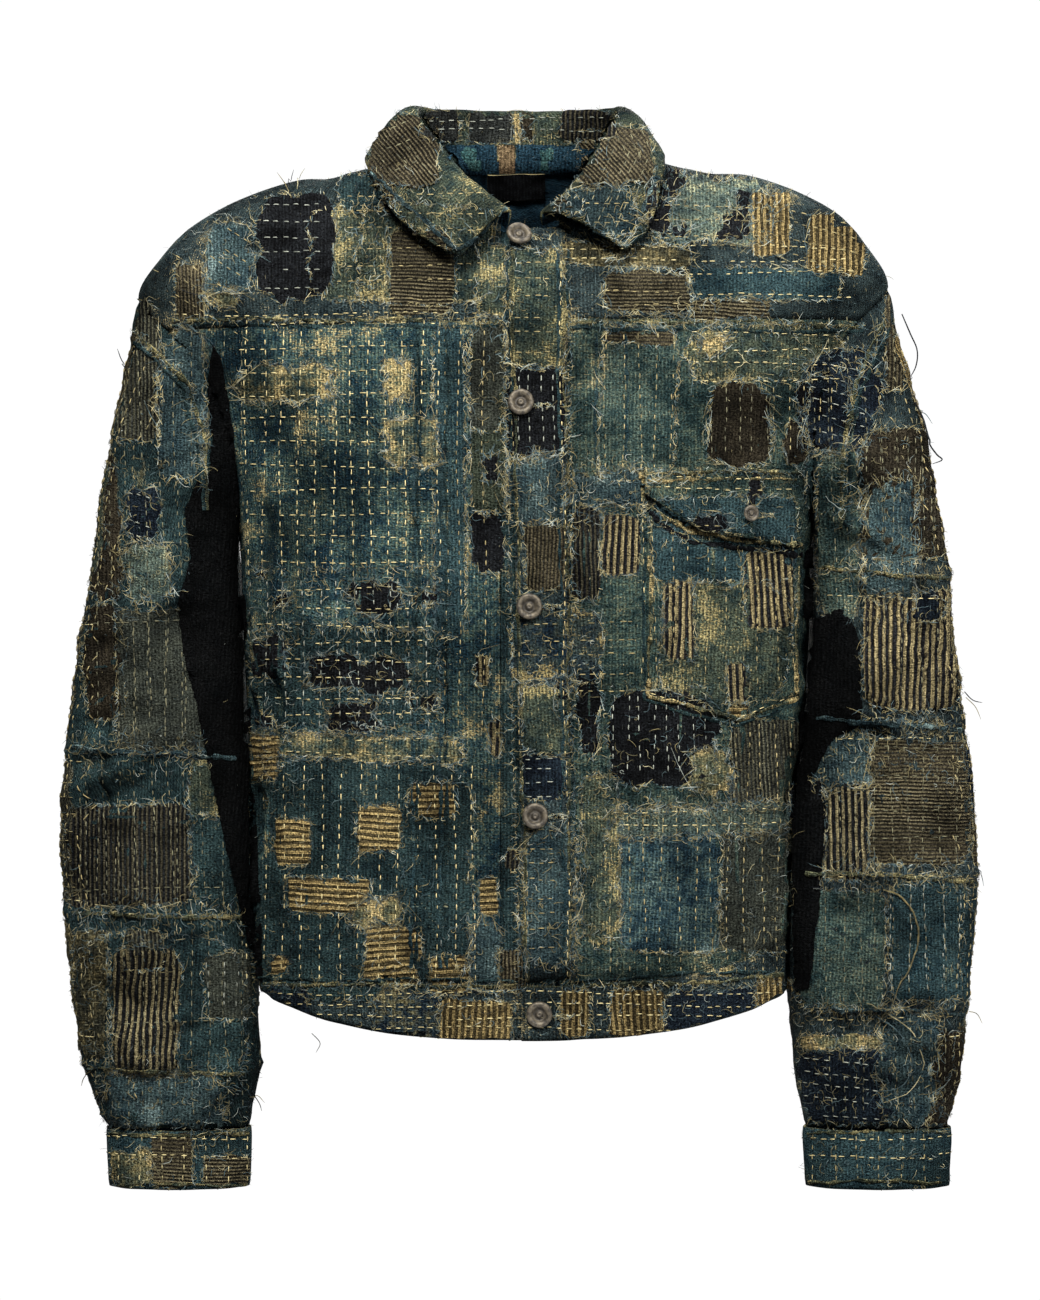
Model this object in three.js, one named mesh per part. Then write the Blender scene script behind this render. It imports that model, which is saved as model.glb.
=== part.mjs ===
// Patched boro jacket, waist length, worn shape with no wearer inside.
// Millimetres, +Z up, the front faces -Y. "Right" and "left" are the wearer's, so right is -X.
// The origin is the middle of the neck opening at the height where the shoulders carry the cloth.
import * as THREE from 'three';

const CLOTH_WALL = 2.2;
const BAND_WALL = 3;
const SEAM_GAP = 0.3;
const BAND_LIFT = 0.8;
const BACK_COLUMNS = 12;
const DEGREE = Math.PI / 180;

// The body's rings from hem to neck. level runs up the side seam and out along the shoulder.
// front, side, back: height of the ring there. right, left: half widths.
// chest, spine: depth forward and backward. square: 2 is an ellipse, more is boxier.
const RING_FIELDS = ['level', 'front', 'side', 'back', 'right', 'left', 'chest', 'spine', 'square'];
const BODY_RINGS = [
  [-626, -626, -597, -612, 190, 196, 109, 107, 2.7],
  [-588, -587, -560, -574, 193, 197, 111, 109, 2.7],
  [-577, -576, -550, -563, 196, 199, 117, 113, 2.7],
  [-540, -540, -534, -538, 196, 197, 119, 114, 2.7],
  [-500, -500, -500, -500, 197, 198, 117, 112, 2.65],
  [-430, -430, -430, -430, 199, 205, 115, 112, 2.6],
  [-350, -350, -350, -350, 203, 212, 116, 114, 2.6],
  [-270, -270, -270, -270, 206, 214, 119, 118, 2.55],
  [-230, -230, -230, -230, 211, 218, 119, 120, 2.5],
  [-180, -180, -180, -180, 232, 233, 116, 120, 2.4],
  [-135, -135, -135, -135, 262, 254, 109, 115, 2.25],
  [-90, -91, -88, -88, 281, 271, 99, 105, 2.15],
  [-56, -80, -57, -60, 264, 255, 94, 97, 2.1],
  [-18, -71, -31, -34, 236, 231, 90, 88, 2.1],
  [33, -62, -9, -10, 190, 187, 85, 77, 2.1],
  [85, -54, 3, 6, 138, 136, 80, 68, 2.1],
  [136, -46, 9, 16, 88, 85, 75, 60, 2.1],
].map((row) => Object.fromEntries(RING_FIELDS.map((field, index) => [field, row[index]])));
const HEM = -626;
const BAND_TOP = -588;
const NECK = 136;
const UNDERARM = -270;
const SHOULDER_TIP = -90;
const SHOULDER_LEAN = 4.5;
const SHOULDER_HALF = 276;
const SLEEVE_SIDES = 24;
// How far the armhole's seam stands round from the side, in degrees, from the underarm (0) to the tip (1).
const ARMHOLE_SEAM = [
  { share: 0, spread: 0 },
  { share: 0.06, spread: 7.5 },
  { share: 0.17, spread: 12.5 },
  { share: 0.4, spread: 22 },
  { share: 0.65, spread: 27 },
  { share: 0.8, spread: 24.5 },
  { share: 0.93, spread: 14 },
  { share: 1, spread: 0 },
];
const FRONT_YOKE_STEP = 3;
const BACK_YOKE_STEP = 4;

// Front opening: the placket of the left front laps over the button stand of the right front.
const STAND_EDGE = -14;
const STAND_REACH = 25;
const LEFT_FRONT_EDGE = 28;
const BAND_ENDS = { right: 23, left: 1 };
const PLACKET = { topEdge: -8.5, hemEdge: 3.5, topSeam: 32, hemSeam: 37, top: -45, hem: -626 };
const PLEAT_TOP = -118;
const PLEAT_LINES = [52, 72];
const PLEAT_RISE = 2.4;
const PLEAT_TURN = 2.5;

const POCKET = { inner: 92, outer: 201, top: -236, side: -383, point: -401, pointAt: 158 };
const FLAP = { inner: 87, outer: 204, top: -221, innerDrop: -240, middleDrop: -266, outerDrop: -277 };
const LABEL = { from: -25, to: 19, top: 112, bottom: 36 };

const BUTTON_RADIUS = 9.2;
const FLAP_BUTTON_RADIUS = 5.8;
const FRONT_BUTTONS = [
  { x: -1, z: -57, tilt: 14 },
  { x: 0.5, z: -176, tilt: 3 },
  { x: 6.5, z: -319, tilt: -2 },
  { x: 10.5, z: -467, tilt: 4 },
  { x: 13.5, z: -607, tilt: 0 },
];
const FLAP_BUTTON = { x: 158, z: -253, tilt: -8 };

// Sleeve rings below the head: height, outer and inner reach from the centreline, half depth, middle.
const RIGHT_SLEEVE = [
  { z: -300, outer: 318, inner: 207.6, deep: 66, mid: -3 },
  { z: -345, outer: 325, inner: 205.4, deep: 64, mid: -5 },
  { z: -402, outer: 331, inner: 202.8, deep: 62, mid: -8 },
  { z: -460, outer: 336, inner: 200.4, deep: 60, mid: -12 },
  { z: -512, outer: 336, inner: 199.4, deep: 58, mid: -15 },
  { z: -549, outer: 334, inner: 198.6, deep: 55, mid: -16 },
  { z: -608, outer: 327, inner: 194.2, deep: 50, mid: -16 },
  { z: -652, outer: 320, inner: 190.5, deep: 45, mid: -16 },
  { z: -685, outer: 309, inner: 194, deep: 38, mid: -15 },
  { z: -698, outer: 302, inner: 196.5, deep: 33, mid: -14 },
];
const LEFT_SLEEVE = [
  { z: -300, outer: 317, inner: 215.6, deep: 66, mid: -3 },
  { z: -345, outer: 321, inner: 214.6, deep: 64, mid: -5 },
  { z: -402, outer: 327, inner: 210.4, deep: 62, mid: -8 },
  { z: -460, outer: 333, inner: 204.8, deep: 60, mid: -12 },
  { z: -512, outer: 335, inner: 200.4, deep: 58, mid: -15 },
  { z: -549, outer: 333, inner: 199.8, deep: 55, mid: -16 },
  { z: -608, outer: 328, inner: 199.2, deep: 50, mid: -16 },
  { z: -652, outer: 324, inner: 200.5, deep: 45, mid: -16 },
  { z: -685, outer: 318, inner: 205, deep: 38, mid: -15 },
  { z: -698, outer: 315, inner: 207.5, deep: 33, mid: -14 },
];
const SLEEVE_TOP = -300;
const SLEEVE_END = -698;
const SLEEVE_SQUARE = 2.2;
const SLEEVE_SEAMS = [60, 240];
const SLEEVE_CROSS_SEAM = { right: -424, left: -402 };
// The fullness at the back of each sleeve falls inward, behind the side of the body.
const SLEEVE_TUCK = { turn: 225, spread: 34, reach: 20 };
const CUFF_BOTTOM = -741;
const CUFF_TAPER = 1.5;

// Broad creases, as soft troughs (positive deep) and ridges (negative): on the front and the back
// they run between two points given by their distance from the centreline and their height.
const FRONT_CREASES = [
  { from: [-222, -165], to: [-120, -265], deep: 4, wide: 15 },
  { from: [-196, -300], to: [-182, -520], deep: 4, wide: 14 },
  { from: [-95, -430], to: [-85, -590], deep: 3, wide: 13 },
  { from: [222, -175], to: [160, -205], deep: 4, wide: 14 },
  { from: [52, -500], to: [60, -590], deep: -3, wide: 10 },
  { from: [150, -430], to: [175, -560], deep: 3.5, wide: 15 },
];
const BACK_CREASES = [
  { from: [-215, -190], to: [-100, -300], deep: 4.5, wide: 17 },
  { from: [215, -190], to: [90, -320], deep: 4.5, wide: 17 },
  { from: [-150, -380], to: [-130, -580], deep: 4, wide: 16 },
  { from: [140, -380], to: [150, -580], deep: 4, wide: 16 },
  { from: [0, -430], to: [-12, -590], deep: 3, wide: 15 },
];
// On a sleeve a crease runs between two turns (degrees from the outside, 90 is the front) and heights.
const SLEEVE_CREASES = [
  { from: [20, -330], to: [120, -380], deep: 4, wide: 13 },
  { from: [110, -440], to: [20, -480], deep: 4, wide: 13 },
  { from: [10, -520], to: [100, -560], deep: 3.5, wide: 12 },
  { from: [300, -400], to: [350, -470], deep: 4, wide: 14 },
  { from: [30, -655], to: [130, -660], deep: 4, wide: 9 },
  { from: [230, -640], to: [340, -655], deep: 4, wide: 10 },
];

// Collar: stations from the right leaf's front end round the neck to the left leaf's.
const COLLAR_STATIONS = [
  { turn: -5, fold: [-6, -85, -34], edge: [-42, -104, -70] },
  { turn: -32, fold: [-36, -70, -12], edge: [-66, -97, -58] },
  { turn: -62, fold: [-61, -43, 17], edge: [-93, -78, -34] },
  { turn: -92, fold: [-80, -4, 49], edge: [-114, -14, 12] },
  { turn: -136, fold: [-62, 39, 54], edge: [-85, 57, 14] },
  { turn: -180, fold: [0, 54, 55], edge: [0, 83, 3] },
  { turn: -224, fold: [61, 39, 54], edge: [82, 57, 15] },
  { turn: -268, fold: [77, -4, 49], edge: [106, -14, 15] },
  { turn: -298, fold: [61, -43, 18], edge: [99, -76, -27] },
  { turn: -326, fold: [42, -69, -12], edge: [90, -88, -52] },
  { turn: -350, fold: [15, -88, -36], edge: [75, -97, -65] },
];
const COLLAR_COLUMNS = 22;
const STAND_INSET = 3;
const STAND_DROP = 5.2;

const mixNumber = (from, to, share) => from + (to - from) * share;
const smooth = (from, to, value) => {
  const share = THREE.MathUtils.clamp((value - from) / (to - from), 0, 1);
  return share * share * (3 - 2 * share);
};
const power = (value, square) => Math.sign(value) * Math.abs(value) ** (2 / square);

// Catmull-Rom value of one field of a table whose key field rises or falls steadily.
function readTable(table, key, field, at) {
  const falling = table[0][key] > table[table.length - 1][key];
  let index = 0;
  while (index < table.length - 2 && (falling ? at < table[index + 1][key] : at > table[index + 1][key])) {
    index += 1;
  }
  const low = table[index];
  const high = table[index + 1];
  const before = table[Math.max(index - 1, 0)];
  const after = table[Math.min(index + 2, table.length - 1)];
  const span = high[key] - low[key];
  const share = THREE.MathUtils.clamp((at - low[key]) / span, 0, 1);
  const lowSlope = before === low ? (high[field] - low[field]) / span
    : (high[field] - before[field]) / (high[key] - before[key]);
  const highSlope = after === high ? (high[field] - low[field]) / span
    : (after[field] - low[field]) / (after[key] - low[key]);
  const s2 = share * share;
  const s3 = s2 * share;
  return (2 * s3 - 3 * s2 + 1) * low[field] + (s3 - 2 * s2 + share) * lowSlope * span
    + (3 * s2 - 2 * s3) * high[field] + (s3 - s2) * highSlope * span;
}

// Sum of troughs at a place given in the creases' own two coordinates, both in millimetres.
function troughs(creases, across, up) {
  let total = 0;
  for (const crease of creases) {
    const [ax, az] = crease.from;
    const dx = crease.to[0] - ax;
    const dz = crease.to[1] - az;
    const reached = ((across - ax) * dx + (up - az) * dz) / (dx * dx + dz * dz);
    const along = THREE.MathUtils.clamp(reached, 0, 1);
    const off = Math.hypot(across - ax - dx * along, up - az - dz * along);
    total += crease.deep * (0.45 + 0.55 * Math.sin(Math.PI * along)) * Math.exp(-((off / crease.wide) ** 2));
  }
  return total;
}

// ---- the body's surface ----
function bodyRing(level) {
  const ring = {};
  for (const field of RING_FIELDS.slice(1)) {
    ring[field] = readTable(BODY_RINGS, 'level', field, level);
  }
  return ring;
}

// Smooth body without creases: angle 0 is the centre front, +90 the wearer's left side, 180 the back.
function bodyCore(angle, level) {
  const ring = bodyRing(level);
  const sine = Math.sin(angle * DEGREE);
  const cosine = Math.cos(angle * DEGREE);
  const width = sine < 0 ? ring.right : ring.left;
  const depth = cosine > 0 ? ring.chest : ring.spine;
  const end = cosine > 0 ? ring.front : ring.back;
  const x = width * power(sine, ring.square);
  const height = ring.side + (end - ring.side) * cosine * cosine;
  const lean = SHOULDER_LEAN * (x / SHOULDER_HALF) * smooth(UNDERARM, SHOULDER_TIP, level);
  return new THREE.Vector3(x, -depth * power(cosine, ring.square), height + lean);
}

function pleatRise(x, z) {
  if (z > PLEAT_TOP) {
    return 0;
  }
  const off = Math.abs(x);
  let rise = 0;
  for (const line of PLEAT_LINES) {
    rise += PLEAT_RISE * smooth(line + 1, line - PLEAT_TURN + 1, off) * smooth(line - 20, line - 6, off);
  }
  return rise;
}

function bodyFold(point) {
  const steady = 1 - 0.75 * smooth(-575, -600, point.z);
  if (point.y < 0) {
    return pleatRise(point.x, point.z) - steady * troughs(FRONT_CREASES, point.x, point.z);
  }
  return -steady * troughs(BACK_CREASES, point.x, point.z);
}

// A surface point moved out along the normal. core(a, b) is the smooth surface, fold its relief.
function lifted(core, fold, a, b, stepA, stepB, rangeB, lift) {
  const point = core(a, b);
  const east = core(a + stepA, b).sub(core(a - stepA, b));
  const north = core(a, Math.min(b + stepB, rangeB[1])).sub(core(a, Math.max(b - stepB, rangeB[0])));
  const normal = east.cross(north).normalize();
  return point.addScaledVector(normal, fold(point, a, b) + lift);
}

function bodyAt(angle, level, lift) {
  return lifted(bodyCore, bodyFold, angle, level, 0.4, 0.6, [HEM, NECK], lift);
}

// Angle at which a ring of the front is x from the centreline.
function angleOfX(x, level) {
  const ring = bodyRing(level);
  const width = x < 0 ? ring.right : ring.left;
  const reach = Math.min(Math.abs(x) / width, 1);
  return Math.sign(x) * Math.asin(reach ** (ring.square / 2)) / DEGREE;
}

// Level of the front surface at x whose height is z.
function levelOfZ(x, z) {
  let low = HEM;
  let high = NECK;
  for (let step = 0; step < 40; step += 1) {
    const middle = (low + high) / 2;
    if (bodyCore(angleOfX(x, middle), middle).z < z) {
      low = middle;
    } else {
      high = middle;
    }
  }
  return (low + high) / 2;
}

// Armhole: step 0 is the shoulder tip, SLEEVE_SIDES / 2 the underarm, and back again.
function armholeLevel(step) {
  const share = (1 + Math.cos(2 * Math.PI * step / SLEEVE_SIDES)) / 2;
  return mixNumber(UNDERARM, SHOULDER_TIP, share);
}

function armholeSpread(level) {
  const share = (level - UNDERARM) / (SHOULDER_TIP - UNDERARM);
  if (share <= 0 || share >= 1) {
    return 0;
  }
  return readTable(ARMHOLE_SEAM, 'share', 'spread', share);
}

// ---- cloth walls ----
function meshOf(name, positions, triangles, material) {
  const flat = positions.flatMap((point) => [point.x, point.y, point.z]);
  const geometry = new THREE.BufferGeometry();
  geometry.setAttribute('position', new THREE.Float32BufferAttribute(flat, 3));
  let volume = 0;
  for (const [a, b, c] of triangles) {
    volume += positions[a].dot(positions[b].clone().cross(positions[c]));
  }
  const outward = volume > 0 ? triangles : triangles.map(([a, b, c]) => [a, c, b]);
  geometry.setIndex(outward.flat());
  geometry.computeVertexNormals();
  const mesh = new THREE.Mesh(geometry, material);
  mesh.name = name;
  return mesh;
}

// A wall from a grid of places. at(i, j, side) gives a point of the outer (0) or inner (1) face.
// round closes the grid on itself along i.
function clothWall(name, material, columns, rows, at, round = false) {
  const positions = [];
  const triangles = [];
  const wide = round ? columns : columns + 1;
  const index = (i, j, face) => (face * (rows + 1) + j) * wide + (i % wide);
  for (const face of [0, 1]) {
    for (let j = 0; j <= rows; j += 1) {
      for (let i = 0; i < wide; i += 1) {
        positions.push(at(i, j, face));
      }
    }
  }
  const quad = (a, b, c, d) => triangles.push([a, b, c], [a, c, d]);
  for (let j = 0; j < rows; j += 1) {
    for (let i = 0; i < columns; i += 1) {
      quad(index(i, j, 0), index(i + 1, j, 0), index(i + 1, j + 1, 0), index(i, j + 1, 0));
      quad(index(i, j, 1), index(i, j + 1, 1), index(i + 1, j + 1, 1), index(i + 1, j, 1));
    }
  }
  for (let i = 0; i < columns; i += 1) {
    quad(index(i, 0, 0), index(i, 0, 1), index(i + 1, 0, 1), index(i + 1, 0, 0));
    quad(index(i, rows, 0), index(i + 1, rows, 0), index(i + 1, rows, 1), index(i, rows, 1));
  }
  for (let j = 0; j < rows && !round; j += 1) {
    quad(index(0, j, 0), index(0, j + 1, 0), index(0, j + 1, 1), index(0, j, 1));
    quad(index(columns, j, 0), index(columns, j, 1), index(columns, j + 1, 1), index(columns, j + 1, 0));
  }
  return meshOf(name, positions, triangles, material);
}

// A wall on the body: angleAt(i, level) and levels give the outer face, liftAt how far out it lies.
function bodyPiece(name, material, columns, levels, angleAt, options = {}) {
  const wall = options.wall ?? CLOTH_WALL;
  const liftAt = options.liftAt ?? (() => 0);
  return clothWall(name, material, columns, levels.length - 1, (i, j, face) => {
    const level = levels[j];
    return bodyAt(angleAt(i, level), level, liftAt(i) - face * wall);
  });
}

function fabric(colour) {
  return new THREE.MeshStandardMaterial({ color: colour, roughness: 0.92, metalness: 0 });
}

const INDIGO = fabric(0x33454f);
const INDIGO_DARK = fabric(0x232b36);
const TEAL = fabric(0x46585a);
const BROWN = fabric(0x4b4338);
const LABEL_CLOTH = fabric(0x16161a);
const PEWTER = new THREE.MeshStandardMaterial({ color: 0x6f6c66, roughness: 0.5, metalness: 0.85 });

// ---- levels shared by the panels, so that both sides of a seam have the same points ----
const HALF_SIDES = SLEEVE_SIDES / 2;
const LOWER_LEVELS = [BAND_TOP + SEAM_GAP, -570, -535, -490, -440, -385, -335, UNDERARM - 0.2];

function armholeLevels(fromStep, toStep) {
  const levels = [];
  for (let step = fromStep; step >= toStep; step -= 1) {
    levels.push(armholeLevel(step));
  }
  return levels;
}

// Outer edge of a front (turn 1) or back (turn -1) panel at a level, in degrees from the side.
function edgeFromSide(level) {
  const slack = 0.12;
  const spread = armholeSpread(level);
  return spread > 0 ? spread + 2 * slack : slack;
}

const FRONT_PANEL_LEVELS = [
  ...LOWER_LEVELS, ...armholeLevels(HALF_SIDES - 1, FRONT_YOKE_STEP + 1), armholeLevel(FRONT_YOKE_STEP) - 0.2,
];
const SHOULDER_LEVELS = [-73, -50, -18, 33, 85, NECK];
const FRONT_YOKE_LEVELS = [
  armholeLevel(FRONT_YOKE_STEP) + 0.2, ...armholeLevels(FRONT_YOKE_STEP - 1, 1), SHOULDER_TIP + 0.4,
  ...SHOULDER_LEVELS,
];
const BACK_PANEL_LEVELS = [
  ...LOWER_LEVELS, ...armholeLevels(HALF_SIDES - 1, BACK_YOKE_STEP + 1), armholeLevel(BACK_YOKE_STEP) - 0.2,
];
const BACK_YOKE_LEVELS = [
  armholeLevel(BACK_YOKE_STEP) + 0.2, ...armholeLevels(BACK_YOKE_STEP - 1, 1), SHOULDER_TIP + 0.4,
  ...SHOULDER_LEVELS,
];

// Columns of a front half, as distances from the centreline at chest height, inner edge first.
function frontColumns(side, inner) {
  const pleats = PLEAT_LINES.flatMap((line) => [line - PLEAT_TURN + 1, line + 1]);
  return [inner, ...pleats, 100, 130, 160, 188].map((reach) => side * reach);
}

// Angle of column i at a level: inner columns keep their distance from the centreline near the
// front edge and spread evenly towards the side seam, armhole or shoulder seam.
function frontAngle(side, columns, level) {
  const width = side < 0 ? bodyRing(level).right : bodyRing(level).left;
  const chest = side < 0 ? bodyRing(-350).right : bodyRing(-350).left;
  const last = 90 - edgeFromSide(level);
  const lastX = Math.abs(bodyCore(side * last, level).x);
  return (i) => {
    if (i === columns.length) {
      return side * last;
    }
    const reach = Math.abs(columns[i]);
    const inner = Math.abs(columns[0]);
    const share = (reach - inner) / (chest - inner);
    const squeeze = smooth(chest + 4, chest - 80, Math.min(lastX, width));
    const packed = inner + share * (lastX - inner);
    const kept = mixNumber(reach, packed, Math.max(squeeze, smooth(inner, chest, reach)));
    return angleOfX(side * Math.min(kept, lastX * 0.999), level);
  };
}

function frontPiece(name, material, side, inner, levels) {
  const columns = frontColumns(side, inner);
  return bodyPiece(name, material, columns.length, levels, (i, level) => frontAngle(side, columns, level)(i));
}

function backPiece(name, material, levels) {
  return bodyPiece(name, material, BACK_COLUMNS, levels, (i, level) => {
    const edge = edgeFromSide(level);
    const share = i / BACK_COLUMNS;
    return 90 + edge + share * (180 - 2 * edge);
  });
}

// ---- front opening ----
// Distance from the centreline across the placket, from its free edge (0) to its seam (1).
function placketReach(z, across) {
  const share = THREE.MathUtils.clamp((PLACKET.top - z) / (PLACKET.top - PLACKET.hem), 0, 1);
  const edge = mixNumber(PLACKET.topEdge, PLACKET.hemEdge, share);
  const seam = mixNumber(PLACKET.topSeam, PLACKET.hemSeam, share);
  return mixNumber(edge, seam, across);
}

const PLACKET_LEVELS = [
  BAND_TOP + 3, -575, -550, -520, -485, -450, -415, -380, -345, -310, -275, -240, -205, -170, -135,
  -90, -30, 40, NECK - 24,
];

function placket() {
  const columns = 4;
  return bodyPiece('placket', INDIGO, columns, PLACKET_LEVELS, (i, level) => {
    const z = bodyCore(0, level).z;
    return angleOfX(placketReach(z, i / columns), level);
  }, { liftAt: () => CLOTH_WALL + SEAM_GAP + 0.4 + PLEAT_RISE * 0.3 });
}

function buttonStand() {
  const columns = 2;
  return bodyPiece('button_stand', INDIGO_DARK, columns, PLACKET_LEVELS, (i, level) => {
    const reach = mixNumber(STAND_EDGE + SEAM_GAP, STAND_REACH, i / columns);
    return angleOfX(reach, level);
  });
}

// ---- waistband: the left end laps over the right end ----
function bandPiece(name, columns, angleAt, lapAt = () => 0) {
  const levels = [HEM, (HEM + BAND_TOP) / 2, BAND_TOP - SEAM_GAP];
  return bodyPiece(name, BROWN, columns, levels, angleAt, {
    wall: BAND_WALL,
    liftAt: (i) => BAND_LIFT + lapAt(i),
  });
}

// A front band has the columns of the panel above it and one more that reaches across the opening.
function frontBand(name, side, inner, reach, lapAt) {
  const columns = frontColumns(side, inner);
  return bandPiece(name, columns.length + 1, (i, level) => {
    return i === 0 ? angleOfX(reach, level) : frontAngle(side, columns, level)(i - 1);
  }, lapAt);
}

function waistband() {
  const lap = (i) => (i < 2 ? BAND_WALL + BAND_LIFT : 0);
  return [
    frontBand('waistband_right', -1, -STAND_EDGE, BAND_ENDS.right),
    frontBand('waistband_left', 1, LEFT_FRONT_EDGE, BAND_ENDS.left, lap),
    bandPiece('waistband_back', BACK_COLUMNS, (i) => 90.12 + (i / BACK_COLUMNS) * 179.76),
  ];
}

// ---- chest pocket and flap, lying on the left front ----
function patchOnFront(name, material, columns, rows, xAt, zAt, liftAt) {
  return clothWall(name, material, columns, rows, (i, j, face) => {
    const x = xAt(i / columns, j / rows);
    const z = zAt(i / columns, j / rows, x);
    const level = levelOfZ(x, z);
    return bodyAt(angleOfX(x, level), level, liftAt(i / columns, j / rows) - face * CLOTH_WALL);
  });
}

function chestPocket() {
  const bottom = (x) => {
    const share = x < POCKET.pointAt ? (x - POCKET.inner) / (POCKET.pointAt - POCKET.inner)
      : (POCKET.outer - x) / (POCKET.outer - POCKET.pointAt);
    return mixNumber(POCKET.side, POCKET.point, share);
  };
  const xAt = (across) => mixNumber(POCKET.inner, POCKET.outer, across);
  const zAt = (across, up, x) => mixNumber(bottom(x), POCKET.top, up);
  const puff = (across, up) => 2 * Math.sin(Math.PI * across) * Math.sin(Math.PI * Math.min(up * 1.2, 1));
  return patchOnFront('chest_pocket', TEAL, 8, 8, xAt, zAt, (a, b) => CLOTH_WALL + 2 * SEAM_GAP + puff(a, b));
}

function pocketFlap() {
  const drop = (across) => (across < 0.35 ? mixNumber(FLAP.innerDrop, FLAP.middleDrop, across / 0.35)
    : mixNumber(FLAP.middleDrop, FLAP.outerDrop, (across - 0.35) / 0.65));
  const xAt = (across) => mixNumber(FLAP.inner, FLAP.outer, across);
  const zAt = (across, up) => mixNumber(drop(across), FLAP.top, up);
  const base = 2 * CLOTH_WALL + 3 * SEAM_GAP + 2.4;
  const lift = (across, up) => base + 5 * (1 - up) * Math.sin(Math.PI * across);
  return patchOnFront('pocket_flap', TEAL, 8, 4, xAt, zAt, lift);
}

// ---- sleeves ----
const wrapTurn = (turn) => ((turn % 360) + 360) % 360;

function sleeveRingPoint(side, table, turn, z) {
  const outer = readTable(table, 'z', 'outer', z);
  const inner = readTable(table, 'z', 'inner', z);
  const deep = readTable(table, 'z', 'deep', z);
  const mid = readTable(table, 'z', 'mid', z);
  const wrapped = wrapTurn(turn);
  const hang = smooth(-660, -560, z) * Math.exp(-(((wrapped - SLEEVE_TUCK.turn) / SLEEVE_TUCK.spread) ** 2));
  const round = (outer + inner) / 2 + (outer - inner) / 2 * power(Math.cos(turn * DEGREE), SLEEVE_SQUARE);
  const across = Math.max(round - SLEEVE_TUCK.reach * hang, inner);
  return new THREE.Vector3(side * across, mid - deep * power(Math.sin(turn * DEGREE), SLEEVE_SQUARE), z);
}

// The seam line of the armhole on the body, a little outside it.
function armholePoint(side, turn) {
  const share = (1 + Math.cos(turn * DEGREE)) / 2;
  const level = mixNumber(UNDERARM, SHOULDER_TIP, share);
  const spread = armholeSpread(level);
  const front = Math.sin(turn * DEGREE) > 0 ? -1 : 1;
  const point = bodyCore(side * (90 + front * spread), level);
  point.x += side * 0.9;
  point.z -= 0.7 * Math.cos(turn * DEGREE);
  return point;
}

// Way the sleeve leaves the armhole.
function headDirection(side, turn) {
  const sine = Math.sin(turn * DEGREE);
  const low = (1 - Math.cos(turn * DEGREE)) / 2;
  const out = mixNumber(0.2, 0.24, low) + 0.3 * sine * sine;
  const down = mixNumber(0.98, 0.97, low) * (1 - 0.3 * sine * sine);
  return new THREE.Vector3(side * out, -0.12 * sine, -down).normalize();
}

// place 0 is the armhole, 1 the first full ring, and above 1 a hundred millimetres of sleeve each.
function sleeveCore(side, table, turn, place) {
  if (place >= 1) {
    return sleeveRingPoint(side, table, turn, SLEEVE_TOP - (place - 1) * 100);
  }
  const start = armholePoint(side, turn);
  const end = sleeveRingPoint(side, table, turn, SLEEVE_TOP);
  const reach = start.distanceTo(end);
  const leave = headDirection(side, turn).multiplyScalar(reach);
  const next = sleeveRingPoint(side, table, turn, SLEEVE_TOP - 20);
  const arrive = next.sub(end).normalize().multiplyScalar(reach);
  const s2 = place * place;
  const s3 = s2 * place;
  return new THREE.Vector3()
    .addScaledVector(start, 2 * s3 - 3 * s2 + 1)
    .addScaledVector(leave, s3 - 2 * s2 + place)
    .addScaledVector(end, 3 * s2 - 2 * s3)
    .addScaledVector(arrive, s3 - s2);
}

function sleeveAt(side, table, turn, place, lift) {
  const core = (a, b) => sleeveCore(side, table, a, b);
  const fold = (point) => {
    const wrapped = wrapTurn(turn);
    const calm = smooth(0, 70, Math.abs(wrapped - 180)) * smooth(SLEEVE_END, SLEEVE_END + 25, point.z);
    return -calm * troughs(SLEEVE_CREASES, wrapped, point.z);
  };
  const last = 1 + (SLEEVE_TOP - SLEEVE_END) / 100;
  const outward = side < 0 ? 1 : -1;
  return lifted(core, (point) => -outward * fold(point), turn, place, 2, 0.02, [0, last], -outward * lift);
}

// Rings of the head by place, and of the arm by height, closer together where the cuff gathers it.
const HEAD_PLACES = [0, 0.2, 0.42, 0.63, 0.83];
const UPPER_HEIGHTS = [SLEEVE_TOP, -354];
const LOWER_HEIGHTS = [-465, -510, -555, -598, -640, -676, SLEEVE_END + SEAM_GAP];
const placeOf = (z) => 1 + (SLEEVE_TOP - z) / 100;

function sleevePiece(name, material, side, table, seams, places) {
  const [fromSeam, toSeam] = seams;
  const stepAngle = 360 / SLEEVE_SIDES;
  const columns = Math.round((toSeam - fromSeam) / stepAngle);
  return clothWall(name, material, columns, places.length - 1, (i, j, face) => {
    const pull = (i === 0 ? 1 : 0) - (i === columns ? 1 : 0);
    const turn = fromSeam + i * stepAngle + pull * 0.16;
    return sleeveAt(side, table, turn, places[j], -face * CLOTH_WALL);
  });
}

// A sleeve is four pieces: front and back, each joined from an upper and a lower length.
function sleeve(label, side, table) {
  const cross = SLEEVE_CROSS_SEAM[label];
  const upper = [...HEAD_PLACES, ...[...UPPER_HEIGHTS, cross + SEAM_GAP / 2].map(placeOf)];
  const lower = [cross - SEAM_GAP / 2, ...LOWER_HEIGHTS].map(placeOf);
  const [fold, back] = SLEEVE_SEAMS;
  return [
    sleevePiece(`sleeve_${label}_front_upper`, INDIGO, side, table, [fold, back], upper),
    sleevePiece(`sleeve_${label}_front_lower`, INDIGO, side, table, [fold, back], lower),
    sleevePiece(`sleeve_${label}_back_upper`, INDIGO_DARK, side, table, [back, fold + 360], upper),
    sleevePiece(`sleeve_${label}_back_lower`, INDIGO_DARK, side, table, [back, fold + 360], lower),
  ];
}

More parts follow.
